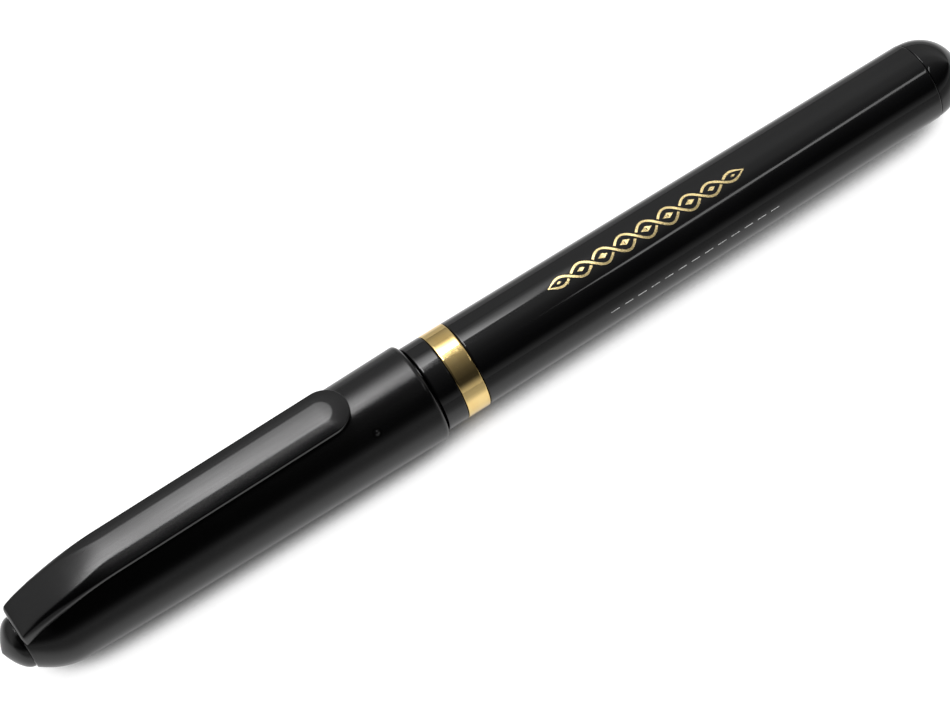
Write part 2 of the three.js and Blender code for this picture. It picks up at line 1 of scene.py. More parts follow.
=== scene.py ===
"""Dresses the capped felt-tip pen and sets it on a pale studio floor.

Lengths inside the classes are millimetres. Places along the pen are measured from the rim of
the cap's closed end, heights from the pen's axis, and angles round the pen from straight up
towards +Y.
"""
import logging
import math
from dataclasses import dataclass
from enum import Enum
from functools import cached_property
from typing import Sequence

import bmesh
import bpy
from mathutils import Matrix, Vector


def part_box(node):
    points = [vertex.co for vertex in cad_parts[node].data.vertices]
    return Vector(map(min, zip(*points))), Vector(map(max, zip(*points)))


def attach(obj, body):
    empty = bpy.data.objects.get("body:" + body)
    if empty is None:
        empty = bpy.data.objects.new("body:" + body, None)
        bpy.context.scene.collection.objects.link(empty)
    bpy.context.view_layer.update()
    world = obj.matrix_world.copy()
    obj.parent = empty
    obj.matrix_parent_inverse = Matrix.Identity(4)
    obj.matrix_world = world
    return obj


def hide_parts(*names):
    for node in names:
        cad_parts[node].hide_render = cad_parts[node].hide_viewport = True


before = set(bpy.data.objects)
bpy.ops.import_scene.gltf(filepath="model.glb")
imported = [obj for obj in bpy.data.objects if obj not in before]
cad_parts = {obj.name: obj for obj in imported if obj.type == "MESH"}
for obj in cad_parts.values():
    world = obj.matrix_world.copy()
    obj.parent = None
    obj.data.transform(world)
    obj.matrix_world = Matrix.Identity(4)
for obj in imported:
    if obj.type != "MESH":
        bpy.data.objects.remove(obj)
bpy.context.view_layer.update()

log = logging.getLogger("pen")

MM = 0.001
SIDES = 192
WELD = 1e-7
CREASE = 32.0
LONG_SIDE = 1.5
HOLD = 0.1

Corner = tuple[float, ...]


class Body(Enum):
    """The bodies that move against each other."""

    PEN = "pen"
    INNER_CAP = "inner_cap"
    CAP = "cap"
    CLIP = "clip"


class Slot(Enum):
    """The finishes that can be changed on the real pen."""

    CAP = "cap_plastic"
    BARREL = "barrel_plastic"
    GOLD = "gold_trim"
    FROSTED = "frosted_plastic"
    HOLDER = "holder_plastic"
    INK = "inked_fibre"
    FILM = "clear_film"


class Cut(Enum):
    """How one solid acts on another."""

    TAKE = "DIFFERENCE"
    ADD = "UNION"


# Shapes


def lerp(start: float, end: float, share: float) -> float:
    """Goes from start to end by a share."""
    return start + (end - start) * share


def bezier(points: Sequence[Vector], share: float) -> Vector:
    """Finds a point of a Bezier curve.

    Args:
        points: The curve's ends with its handles between them.
        share: How far along the curve, from 0 to 1.

    Returns:
        The point.
    """
    while len(points) > 1:
        points = [a.lerp(b, share) for a, b in zip(points, points[1:])]
    return points[0]


def rounded(corners: Sequence[Vector], reaches: Sequence[float], steps: int) -> list[Vector]:
    """Rounds the corners of an open line.

    Args:
        corners: The line's corners.
        reaches: How far from each corner its rounding begins, with 0 for a sharp corner.
        steps: Pieces in each rounding.

    Returns:
        The points of the rounded line.
    """
    line = [corners[0]]
    for before, corner, after, reach in zip(corners, corners[1:], corners[2:], reaches[1:]):
        if reach == 0:
            line.append(corner)
            continue
        ends = []
        for other in (before, after):
            side = other - corner
            ends.append(corner + side * min(reach / max(side.length, WELD), 0.45))
        line += [bezier([ends[0], corner, ends[1]], i / steps) for i in range(steps + 1)]
    line.append(corners[-1])
    return line


def outline(corners: Sequence[Corner], steps: int = 5) -> list[Vector]:
    """Makes an outline to turn about an axis.

    Args:
        corners: Corners as (place, radius), or (place, radius, reach of its rounding).
        steps: Pieces in each rounding.

    Returns:
        The outline's points, with one near each end of a long side so that it is shaded flat.
    """
    reaches = [corner[2] if len(corner) > 2 else 0.0 for corner in corners]
    points = rounded([Vector(corner[:2]) for corner in corners], reaches, steps)
    line = [points[0]]
    for a, b in zip(points, points[1:]):
        length = (b - a).length
        if length > LONG_SIDE:
            line += [a.lerp(b, HOLD / length), b.lerp(a, HOLD / length)]
        line.append(b)
    return line


def radius_at(line: Sequence[Vector], place: float) -> float:
    """Reads the radius of an outline at a place along the axis."""
    for a, b in zip(line, line[1:]):
        if a.x <= place <= b.x and b.x > a.x:
            return lerp(a.y, b.y, (place - a.x) / (b.x - a.x))
    return line[-1].y


def shade(mesh: bpy.types.Mesh, crease: float = CREASE) -> None:
    """Shades a mesh smooth, with sharp edges where its faces turn by more than the crease."""
    mesh.shade_smooth()
    mesh.set_sharp_from_angle(angle=math.radians(crease))


def to_object(bm: bmesh.types.BMesh, name: str, crease: float = CREASE) -> bpy.types.Object:
    """Puts a finished bmesh into the scene.

    Args:
        bm: The mesh, which is welded, turned outward and freed.
        name: Name of the piece.
        crease: Angle in degrees from which an edge is sharp.

    Returns:
        The new object.
    """
    bmesh.ops.remove_doubles(bm, verts=bm.verts[:], dist=WELD)
    bmesh.ops.recalc_face_normals(bm, faces=bm.faces[:])
    mesh = bpy.data.meshes.new(name)
    bm.to_mesh(mesh)
    bm.free()
    shade(mesh, crease)
    piece = bpy.data.objects.new(name, mesh)
    bpy.context.scene.collection.objects.link(piece)
    return piece


def lathe(bm: bmesh.types.BMesh, line: Sequence[Vector], matrix: Matrix, sides: int = SIDES) -> None:
    """Turns an outline about the X axis of a matrix.

    Args:
        bm: Mesh that takes the faces.
        line: Outline that starts and ends on the axis, or closes on itself.
        matrix: Where the axis lies.
        sides: Faces round the axis.
    """
    looped = (line[0] - line[-1]).length < WELD
    rings = []
    for point in line[:-1] if looped else line:
        if point.y < WELD:
            rings.append([bm.verts.new(matrix @ Vector((point.x, 0, 0)))] * sides)
            continue
        ring = []
        for i in range(sides):
            angle = math.tau * i / sides
            place = Vector((point.x, point.y * math.sin(angle), point.y * math.cos(angle)))
            ring.append(bm.verts.new(matrix @ place))
        rings.append(ring)
    if looped:
        rings.append(rings[0])
    for a, b in zip(rings, rings[1:]):
        for i in range(sides):
            j = (i + 1) % sides
            corners = list(dict.fromkeys((a[i], b[i], b[j], a[j])))
            if len(corners) > 2:
                bm.faces.new(corners)


def prism(bm: bmesh.types.BMesh, shape: Sequence[Vector], rise: Vector, matrix: Matrix) -> None:
    """Raises a flat shape into a closed solid.

    Args:
        bm: Mesh that takes the faces.
        shape: Corners of the shape.
        rise: Way from the shape to its copy.
        matrix: Where the solid lies.
    """
    low = [bm.verts.new(matrix @ point) for point in shape]
    high = [bm.verts.new(matrix @ (point + rise)) for point in shape]
    bm.faces.new(low)
    bm.faces.new(high)
    for i, point in enumerate(low):
        j = (i + 1) % len(low)
        bm.faces.new((point, low[j], high[j], high[i]))


def block(bm: bmesh.types.BMesh, low: Corner, high: Corner, matrix: Matrix) -> None:
    """Makes a block between two corners."""
    shape = [Vector((x, y, low[2])) for x, y in (low[:2], (high[0], low[1]), high[:2], (low[0], high[1]))]
    prism(bm, shape, Vector((0, 0, high[2] - low[2])), matrix)


def carve(target: bpy.types.Object, cutter: bpy.types.Object, cut: Cut) -> None:
    """Joins a solid to another or takes it away, and uses it up.

    Args:
        target: The solid that stays.
        cutter: The solid that acts on it.
        cut: Whether it is added or taken away.
    """
    modifier = target.modifiers.new("cut", "BOOLEAN")
    modifier.operation = cut.value
    modifier.solver = "EXACT"
    modifier.object = cutter
    graph = bpy.context.evaluated_depsgraph_get()
    mesh = bpy.data.meshes.new_from_object(target.evaluated_get(graph))
    target.modifiers.remove(modifier)
    used = [target.data, cutter.data]
    target.data = mesh
    bpy.data.objects.remove(cutter)
    for old in used:
        bpy.data.meshes.remove(old)
    mesh.name = target.name
    shade(mesh)


@dataclass(frozen=True)
class PenAxis:
    """The pen's axis in the frame.

    Attributes:
        rim: Place of the cap's rim along X, in metres.
        height: Height of the axis above the plane that the pen lies on, in metres.
    """

    rim: float
    height: float

    @classmethod
    def from_frame(cls) -> "PenAxis":
        """Reads the axis from the cap's own box."""
        low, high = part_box("cap_shell")
        return cls(rim=low.x, height=(low.z + high.z) / 2)

    @property
    def matrix(self) -> Matrix:
        """Turns millimetres from the rim into the frame's metres."""
        return Matrix.Translation((self.rim, 0, self.height)) @ Matrix.Scale(MM, 4)

    def turned_by(self, angle: float) -> Matrix:
        """The same, turned about the axis by an angle in degrees that lifts +Y."""
        return self.matrix @ Matrix.Rotation(math.radians(angle), 4, "X")

    def standing_at(self, place: float, angle: float = 0.0) -> Matrix:
        """An axis that points out of the pen, for a boss or a round hole."""
        upright = Matrix.Translation((place, 0, 0)) @ Matrix.Rotation(math.radians(-90), 4, "Y")
        return self.turned_by(angle) @ upright


# Finishes


def set_stops(ramp: bpy.types.ColorRamp, stops: Sequence[Corner]) -> None:
    """Gives a ramp its greys, through stops of (position, brightness)."""
    points = ramp.elements
    while len(points) < len(stops):
        points.new(1.0)
    for point, (position, level) in zip(points, stops):
        point.position = position
        point.color = (level, level, level, 1)


class Shading:
    """Node tree of one material."""

    def __init__(self, name: str) -> None:
        """Starts a material with a surface shader and an output.

        Args:
            name: Name of the material.
        """
        self.material = bpy.data.materials.new(name)
        self.material.use_nodes = True
        self.tree = self.material.node_tree
        self.tree.nodes.clear()
        self.output = self.tree.nodes.new("ShaderNodeOutputMaterial")
        self.surface = self.tree.nodes.new("ShaderNodeBsdfPrincipled")
        self.link(self.surface.outputs[0], self.output.inputs["Surface"])

    def link(self, start: bpy.types.NodeSocket, end: bpy.types.NodeSocket) -> None:
        """Joins two sockets."""
        self.tree.links.new(start, end)

    def place(self, stretch: Corner) -> bpy.types.NodeSocket:
        """Gives places on the object in millimetres, stretched along each axis.

        Args:
            stretch: How many pattern units one millimetre holds, along X, Y and Z.

        Returns:
            The vector socket.
        """
        where = self.tree.nodes.new("ShaderNodeTexCoord")
        mapping = self.tree.nodes.new("ShaderNodeMapping")
        mapping.inputs["Scale"].default_value = [share / MM for share in stretch]
        self.link(where.outputs["Object"], mapping.inputs["Vector"])
        return mapping.outputs[0]

    def place_in_metres(self) -> bpy.types.Node:
        """Gives a node with the X, Y and Z of places on the object, in metres."""
        parts = self.tree.nodes.new("ShaderNodeSeparateXYZ")
        self.link(self.place((MM, MM, MM)), parts.inputs[0])
        return parts

    def noise(self, stretch: Corner, detail: float = 2.0, rough: float = 0.5) -> bpy.types.NodeSocket:
        """Adds noise.

        Args:
            stretch: Noise cells in a millimetre along X, Y and Z.
            detail: How many finer layers it has.
            rough: How strong the finer layers are.

        Returns:
            The value socket, about 0.3 to 0.7.
        """
        node = self.tree.nodes.new("ShaderNodeTexNoise")
        node.inputs["Scale"].default_value = 1.0
        node.inputs["Detail"].default_value = detail
        node.inputs["Roughness"].default_value = rough
        self.link(self.place(stretch), node.inputs["Vector"])
        return node.outputs[0]

    def cells(self, stretch: Corner) -> bpy.types.NodeSocket:
        """Adds the distance to scattered points, for pits and specks."""
        node = self.tree.nodes.new("ShaderNodeTexVoronoi")
        node.inputs["Scale"].default_value = 1.0
        self.link(self.place(stretch), node.inputs["Vector"])
        return node.outputs["Distance"]

    def fit(
        self, value: bpy.types.NodeSocket, low: float, high: float, start: float, end: float
    ) -> bpy.types.NodeSocket:
        """Maps a value's range onto another and clamps it there."""
        node = self.tree.nodes.new("ShaderNodeMapRange")
        self.link(value, node.inputs["Value"])
        for key, number in zip(("From Min", "From Max", "To Min", "To Max"), (low, high, start, end)):
            node.inputs[key].default_value = number
        return node.outputs["Result"]

    def sum(self, first: bpy.types.NodeSocket, second: bpy.types.NodeSocket) -> bpy.types.NodeSocket:
        """Adds two values."""
        return self.combine(first, second, "ADD")

    def combine(
        self, first: bpy.types.NodeSocket, second: bpy.types.NodeSocket, operation: str
    ) -> bpy.types.NodeSocket:
        """Combines two values by a named operation."""
        node = self.tree.nodes.new("ShaderNodeMath")
        node.operation = operation
        self.link(first, node.inputs[0])
        self.link(second, node.inputs[1])
        return node.outputs[0]

    def mix(self, share: bpy.types.NodeSocket, first: Corner, second: Corner) -> bpy.types.NodeSocket:
        """Mixes two colours by a value."""
        node = self.tree.nodes.new("ShaderNodeMix")
        node.data_type = "RGBA"
        self.link(share, node.inputs[0])
        node.inputs[6].default_value = (*first, 1)
        node.inputs[7].default_value = (*second, 1)
        return node.outputs[2]

    def tint(self, pattern: bpy.types.NodeSocket, reach: Corner, first: Corner, second: Corner) -> None:
        """Colours the surface from one colour to another while a pattern goes through its reach."""
        self.put("Base Color", self.mix(self.fit(pattern, *reach, 0, 1), first, second))

    def grey(self, value: bpy.types.NodeSocket, stops: Sequence[Corner]) -> bpy.types.NodeSocket:
        """Maps a value to brightness through stops of (value, brightness)."""
        node = self.tree.nodes.new("ShaderNodeValToRGB")
        set_stops(node.color_ramp, stops)
        self.link(value, node.inputs[0])
        return node.outputs[0]

    def curve(self, value: bpy.types.NodeSocket, stops: Sequence[Corner]) -> bpy.types.NodeSocket:
        """Maps a value to a level through stops of (value, level)."""
        low = stops[0][0]
        high = stops[-1][0]
        peak = max(level for _, level in stops)
        share = self.fit(value, low, high, 0, 1)
        levels = self.grey(share, [((place - low) / (high - low), level / peak) for place, level in stops])
        return self.fit(levels, 0, 1, 0, peak)

    def bump(self, height: bpy.types.NodeSocket, depth: float, strength: float = 1.0) -> None:
        """Raises the surface by a height pattern.

        Args:
            height: The pattern, from 0 to 1.
            depth: What one unit of height stands for, in millimetres.
            strength: How much of it shows.
        """
        node = self.tree.nodes.new("ShaderNodeBump")
        node.inputs["Distance"].default_value = depth * MM
        node.inputs["Strength"].default_value = strength
        self.link(height, node.inputs["Height"])
        self.link(node.outputs[0], self.surface.inputs["Normal"])

    def put(self, socket: str, value: bpy.types.NodeSocket | float | Corner) -> None:
        """Gives one socket of the surface shader a pattern, a number or a colour."""
        if isinstance(value, bpy.types.NodeSocket):
            self.link(value, self.surface.inputs[socket])
        else:
            self.surface.inputs[socket].default_value = value


@dataclass(frozen=True)
class Finish:
    """A finish that pieces can share.

    Attributes:
        name: Name of the material.
        slot: Slot that the finish fills, if it has one; not used.
    """

    name: str
    slot: Slot | None

    @cached_property
    def material(self) -> bpy.types.Material:
        """The finish's material, made once."""
        shading = Shading(self.name)
        self.dress(shading)
        return shading.material

    def dress(self, shading: Shading) -> None:
        """Adds the finish's own nodes."""
        raise NotImplementedError


@dataclass(frozen=True)
class SatinPlastic(Finish):
    """Black plastic from a lightly etched mould, as on the cap and clip.

    Attributes:
        black: Colour of the plastic.
        worn: Colour where handling has greyed it.
        smooth: Roughness where it is rubbed.
        etched: Roughness where the etching is fresh.
        grain: Depth of the etched grain in millimetres.
    """

    black: Corner = (0.0010, 0.0010, 0.0012)
    worn: Corner = (0.0034, 0.0034, 0.0037)
    smooth: float = 0.19
    etched: float = 0.25
    grain: float = 0.0016

    def dress(self, shading: Shading) -> None:
        """Adds grain, faint flow marks and a few rubbed streaks."""
        clouds = shading.noise((0.09, 0.2, 0.2), 3.0)
        streaks = shading.noise((0.12, 5.0, 5.0), 2.0, 0.6)
        wear = shading.combine(clouds, streaks, "MULTIPLY")
        shading.tint(wear, (0.18, 0.36), self.black, self.worn)
        shading.put("Roughness", shading.fit(wear, 0.16, 0.36, self.etched, self.smooth))
        fine = shading.noise((14.0, 14.0, 14.0), 2.0, 0.6)
        pits = shading.fit(shading.cells((6.0, 6.0, 6.0)), 0.0, 0.35, 0.0, 0.5)
        shading.bump(shading.sum(fine, pits), self.grain, 0.6)


@dataclass(frozen=True)
class PolishedPlastic(Finish):
    """Black plastic from a polished mould, as on the barrel and collar.

    Attributes:
        black: Colour of the plastic.
        haze: Colour under a faint film from handling.
        clear: Roughness where it is clean.
        smudged: Roughness where it has been handled.
    """

    black: Corner = (0.0022, 0.0022, 0.0026)
    haze: Corner = (0.0044, 0.0044, 0.0048)
    clear: float = 0.05
    smudged: float = 0.10

    def dress(self, shading: Shading) -> None:
        """Adds handling haze, hairline scratches along the pen and a long soft waviness."""
        haze = shading.noise((0.06, 0.16, 0.16), 3.0, 0.6)
        shading.tint(haze, (0.4, 0.7), self.black, self.haze)
        hairs = shading.fit(shading.noise((0.16, 16.0, 16.0), 1.0), 0.66, 0.74, 0.0, 0.05)
        film = shading.fit(haze, 0.38, 0.68, self.clear, self.smudged)
        shading.put("Roughness", shading.sum(film, hairs))
        waves = shading.noise((0.1, 0.3, 0.3), 1.0)
        shading.bump(waves, 0.02, 0.5)


@dataclass(frozen=True)
class PlatedMetal(Finish):
    """Bright pale-gold plating on a turned ring.

    Attributes:
        bright: Colour of the plating.
        deep: Colour where it is thinner.
        polished: Lowest roughness.
        brushed: Highest roughness.
    """

    bright: Corner = (0.97, 0.72, 0.31)
    deep: Corner = (0.92, 0.65, 0.25)
    polished: float = 0.06
    brushed: float = 0.13

    def dress(self, shading: Shading) -> None:
        """Adds fine turning lines round the ring and uneven plating."""
        lines = shading.noise((22.0, 0.15, 0.15), 2.0)
        patches = shading.noise((0.5, 0.3, 0.3), 3.0)
        shading.tint(patches, (0.35, 0.7), self.bright, self.deep)
        shading.put("Metallic", 1.0)
        shading.put("Roughness", shading.fit(lines, 0.35, 0.65, self.polished, self.brushed))
        shading.bump(lines, 0.0004, 0.5)


@dataclass(frozen=True)
class FoilPrint(Finish):
    """Hot-stamped foil, thin and slightly worn.

    Attributes:
        colour: Colour of the foil.
        dull: Colour where the foil has worn.
        roughness: Lowest and highest roughness.
    """

    colour: Corner = (0.90, 0.72, 0.36)
    dull: Corner = (0.55, 0.42, 0.20)
    roughness: Corner = (0.22, 0.36)

    def dress(self, shading: Shading) -> None:
        """Adds worn specks and a fine grain."""
        specks = shading.noise((3.0, 3.0, 3.0), 3.0, 0.6)
        shading.tint(specks, (0.5, 0.68), self.colour, self.dull)
        shading.put("Metallic", 1.0)
        shading.put("Roughness", shading.fit(specks, 0.35, 0.7, *self.roughness))
        shading.bump(shading.noise((10.0, 10.0, 10.0)), 0.001, 0.5)


@dataclass(frozen=True)
class FrostedPlastic(Finish):
    """Milky unpigmented plastic, as inside the cap.

    Attributes:
        milk: Main colour.
        shade: Colour of the thicker flow.
        roughness: Lowest and highest roughness.
    """

    milk: Corner = (0.84, 0.85, 0.86)
    shade: Corner = (0.74, 0.76, 0.79)
    roughness: Corner = (0.36, 0.5)

    def dress(self, shading: Shading) -> None:
        """Adds cloudy flow and a soft frosted surface that light goes into."""
        flow = shading.noise((0.12, 0.5, 0.5), 3.0)
        shading.tint(flow, (0.35, 0.65), self.milk, self.shade)
        shading.put("Roughness", shading.fit(flow, 0.35, 0.65, *self.roughness))
        shading.put("Subsurface Weight", 0.35)
        shading.put("Subsurface Scale", 0.0012)
        shading.bump(shading.noise((12.0, 12.0, 12.0)), 0.002, 0.5)


@dataclass(frozen=True)
class SmoothPlastic(Finish):
    """Plain coloured plastic with a soft shine, as on the nib holder.

    Attributes:
        colour: Main colour.
        mottle: Colour of the faint mottling.
        roughness: Lowest and highest roughness.
    """

    colour: Corner = (0.022, 0.022, 0.024)
    mottle: Corner = (0.034, 0.034, 0.037)
    roughness: Corner = (0.22, 0.36)

    def dress(self, shading: Shading) -> None:
        """Adds mottling and a fine grain."""
        mottle = shading.noise((0.8, 0.8, 0.8), 3.0)
        shading.tint(mottle, (0.35, 0.65), self.colour, self.mottle)
        shading.put("Roughness", shading.fit(mottle, 0.35, 0.65, *self.roughness))
        shading.bump(shading.noise((9.0, 9.0, 9.0)), 0.002, 0.5)


@dataclass(frozen=True)
class InkedFibre(Finish):
    """Bonded fibres that run along the pen, soaked with ink.

    Attributes:
        wet: Colour of a soaked fibre.
        dry: Colour of a fibre that stands out.
        roughness: Lowest and highest roughness.
    """

    wet: Corner = (0.006, 0.006, 0.009)
    dry: Corner = (0.045, 0.045, 0.055)
    roughness: Corner = (0.55, 0.9)

    def dress(self, shading: Shading) -> None:
        """Adds fine strands and the gaps between them."""
        strands = shading.noise((0.5, 11.0, 11.0), 3.0, 0.65)
        shading.tint(strands, (0.35, 0.7), self.wet, self.dry)
        shading.put("Roughness", shading.fit(strands, 0.35, 0.7, *self.roughness))
        shading.put("Sheen Weight", 0.15)
        shading.bump(strands, 0.05, 0.8)


@dataclass(frozen=True)
class ClearFilm(Finish):
    """Thin clear film wrapped round the ink store.

    Attributes:
        clear: Main colour.
        smeared: Colour where ink has crept under it.
    """

    clear: Corner = (0.70, 0.74, 0.76)
    smeared: Corner = (0.18, 0.19, 0.22)

    def dress(self, shading: Shading) -> None:
        """Adds smears of ink and the film's long drawing lines."""
        smears = shading.noise((0.08, 0.5, 0.5), 4.0)
        shading.tint(smears, (0.5, 0.7), self.clear, self.smeared)
        shading.put("Roughness", shading.fit(smears, 0.4, 0.7, 0.08, 0.3))
        shading.put("Transmission Weight", 0.6)
        shading.bump(shading.noise((0.2, 4.0, 4.0)), 0.01, 0.5)


@dataclass(frozen=True)
class Finishes:
    """The finishes of the whole pen."""

    satin: Finish = SatinPlastic("black_satin_plastic", Slot.CAP)
    polished: Finish = PolishedPlastic("black_polished_plastic", Slot.BARREL)
    plating: Finish = PlatedMetal("pale_gold_plating", Slot.GOLD)
    gold_foil: Finish = FoilPrint("gold_foil", Slot.GOLD)
    silver_foil: Finish = FoilPrint("silver_foil", None, (0.62, 0.62, 0.62), (0.3, 0.3, 0.3), (0.3, 0.45))
    frosted: Finish = FrostedPlastic("frosted_plastic", Slot.FROSTED)
    holder: Finish = SmoothPlastic("dark_grey_plastic", Slot.HOLDER)
    ink: Finish = InkedFibre("inked_fibre", Slot.INK)
    film: Finish = ClearFilm("clear_film", Slot.FILM)


# Sub-assemblies


@dataclass
class SubAssembly:
    """A group of pieces on the pen's axis.

    Attributes:
        axis: The pen's axis.
        finishes: The pen's finishes.
    """

    axis: PenAxis
    finishes: Finishes

    def fit(self, piece: bpy.types.Object, body: Body, finish: Finish, node: str | None = None) -> None:
        """Dresses a piece and lets it ride on its body.

        Args:
            piece: The piece, in its place.
            body: Body that carries it.
            finish: Its finish.
            node: The solid that it stands for, if there is one.
        """
        piece.data.materials.clear()
        piece.data.materials.append(finish.material)
        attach(piece, body.value)
        if node:
            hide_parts(node)
        log.info("%s: %d faces, rides on %s", piece.name, len(piece.data.polygons), body.value)

    def turned(
        self, name: str, corners: Sequence[Corner], matrix: Matrix | None = None, sides: int = SIDES
    ) -> bpy.types.Object:
        """Turns a piece or a cutter from its corners.

        Args:
            name: Name of the object.
            corners: Corners as outline() takes them.
            matrix: Axis that it is turned about, or none for the pen's own.
            sides: Faces round the axis.

        Returns:
            The new object.
        """
        bm = bmesh.new()
        lathe(bm, outline(corners), matrix or self.axis.matrix, sides)
        return to_object(bm, name)

    def blocks(self, name: str, low: Corner, high: Corner, angles: Sequence[float]) -> bpy.types.Object:
        """Makes blocks that repeat round the axis.

        Args:
            name: Name of the object.
            low: Lowest corner of the block that points straight up.
            high: Its highest corner.
            angles: Where the blocks stand, in degrees.

        Returns:
            The new object.
        """
        bm = bmesh.new()
        for angle in angles:
            block(bm, low, high, self.axis.turned_by(angle))
        return to_object(bm, name)


@dataclass
class Cap(SubAssembly):
    """The cap's shell and the domed plug in its end."""

    length: float = 56.55
    rim_radius: float = 3.65
    rim_round: float = 0.16
    shoulder_length: float = 5.5
    shoulder_radius: float = 5.82
    middle: float = 21.55
    middle_radius: float = 6.2
    mouth_radius: float = 6.58
    lip_round: float = 0.6
    end_wall: float = 1.6
    plug_hole: float = 2.5
    seat_place: float = 7.6
    seat_radius: float = 4.76
    seat_end: float = 30.85
    bore: float = 5.52
    bead_place: float = 53.55
    bead_radius: float = 5.4
    slot_start: float = 1.7
    slot_end: float = 3.6
    slot_half: float = 1.3
    gate_place: float = 48.3
    gate_angle: float = 42.5
    gate_radius: float = 0.65
    gate_nub: float = 0.46
    gate_depth: float = 0.14
    dome_length: float = 2.7
    dome_radius: float = 3.4
    dome_curve: float = 0.85
    dome_gap: float = 0.03
    plug_spigot: float = 2.4
    plug_bead: float = 2.62
    plug_length: float = 4.1
    plug_bore: float = 1.5
    plug_hollow: float = 0.8

    @cached_property
    def outside(self) -> list[Vector]:
        """Outside of the shell from the rim to the start of the rounded lip."""
        rise = self.shoulder_radius - self.rim_radius
        shoulder = [
            Vector((0, self.rim_radius)),
            Vector((0.27 * self.shoulder_length, self.rim_radius + 0.5 * rise)),
            Vector((0.55 * self.shoulder_length, self.rim_radius + 0.93 * rise)),
            Vector((self.shoulder_length, self.shoulder_radius)),
        ]
        handle = Vector((lerp(self.shoulder_length, self.middle, 0.45), self.middle_radius - 0.114))
        front = [shoulder[-1], handle, Vector((self.middle, self.middle_radius))]
        line = [bezier(shoulder, i / 40) for i in range(41)]
        line += [bezier(front, i / 16) for i in range(1, 17)]
        line.append(Vector((self.length, self.mouth_radius)))
        return line

    def radius(self, place: float) -> float:
        """Outer radius of the shell at a place."""
        return radius_at(self.outside, place)

    def shell_corners(self) -> list[Corner]:
        """Corners of the shell: its outside, the rounded lip and the stepped bore."""
        corners: list[Corner] = [(0, self.plug_hole), (0, self.rim_radius, self.rim_round)]
        corners += [tuple(point) for point in self.outside[3:-1]]
        # Points on both sides of the gate keep its cut from disturbing the long side's shading.
        for step in (-1.4, -0.9, 0.9, 1.4):
            place = self.gate_place + step
            corners.append((place, self.radius(place)))
        place = self.length - self.lip_round
        centre = Vector((place, self.radius(place) - self.lip_round))
        for i in range(13):
            angle = math.radians(90 - 7.5 * i)
            corners.append(tuple(centre + self.lip_round * Vector((math.cos(angle), math.sin(angle)))))
        corners += [
            (self.length, self.bore + 0.25, 0.08),
            (self.length - 0.35, self.bore),
            (self.bead_place + 0.8, self.bore, 0.1),
            (self.bead_place + 0.5, self.bead_radius, 0.12),
            (self.bead_place, self.bead_radius, 0.12),
            (self.bead_place - 0.3, self.bore, 0.1),
            (self.seat_end + 1, self.bore - 0.3, 0.3),
            (self.seat_end, self.seat_radius, 0.12),
            (self.seat_place, self.seat_radius, 0.6),
            (lerp(self.end_wall, self.seat_place, 0.43), self.seat_radius - 0.3, 0.8),
            (self.end_wall, self.rim_radius - 0.25, 0.3),
            (self.end_wall, self.plug_hole, 0.05),
            (0, self.plug_hole),
        ]
        return corners

    def build_shell(self) -> bpy.types.Object:
        """Builds the shell, slotted for the clip's tongue, with the gate's round mark."""
        shell = self.turned("cap_shell_satin", self.shell_corners())
        low = (self.slot_start, -self.slot_half, self.plug_hole)
        high = (self.slot_end, self.slot_half, self.mouth_radius + 1)
        carve(shell, self.blocks("slot_cutter", low, high, [0.0]), Cut.TAKE)
        surface = self.radius(self.gate_place)
        floor = surface - self.gate_depth
        ring = [
            (floor, self.gate_nub + 0.06),
            (floor, self.gate_radius - 0.05),
            (surface + 0.5, self.gate_radius + 0.04),
            (surface + 0.5, self.gate_nub - 0.04),
            (floor, self.gate_nub + 0.06),
        ]
        where = self.axis.standing_at(self.gate_place, self.gate_angle)
        carve(shell, self.turned("gate_cutter", ring, where, 48), Cut.TAKE)
        pip = [
            (floor - 0.1, 0),
            (floor - 0.1, self.gate_nub),
            (surface - 0.1, self.gate_nub),
            (surface + 0.12, 0.25 * self.gate_nub, 0.08),
            (surface + 0.14, 0),
        ]
        carve(shell, self.turned("gate_pip", pip, where, 48), Cut.ADD)
        return shell

    def build_plug(self) -> bpy.types.Object:
        """Builds the dome, with its hollow spigot and snap bead."""
        corners: list[Corner] = []
        for i in range(28):
            height = math.cos(math.radians(90 * i / 28))
            radius = self.dome_radius * (1 - height**2) ** self.dome_curve
            corners.append((-self.dome_length * height, radius))
        bead = self.end_wall + self.dome_gap
        tip = self.plug_spigot - 0.1
        corners += [
            (-self.dome_gap, self.dome_radius, 0.06),
            (-self.dome_gap, self.plug_spigot),
            (bead, self.plug_spigot),
            (bead + 0.15, self.plug_bead, 0.1),
            (bead + 0.9, tip, 0.2),
            (self.plug_length, tip, 0.15),
            (self.plug_length, self.plug_bore, 0.1),
            (-self.plug_hollow, self.plug_bore, 0.4),
            (-self.plug_hollow, 0),
        ]
        return self.turned("cap_end_dome", corners)

    def build(self) -> None:
        """Builds and dresses both pieces."""
        self.fit(self.build_shell(), Body.CAP, self.finishes.satin, "cap_shell")
        self.fit(self.build_plug(), Body.CAP, self.finishes.satin, "cap_end_plug")


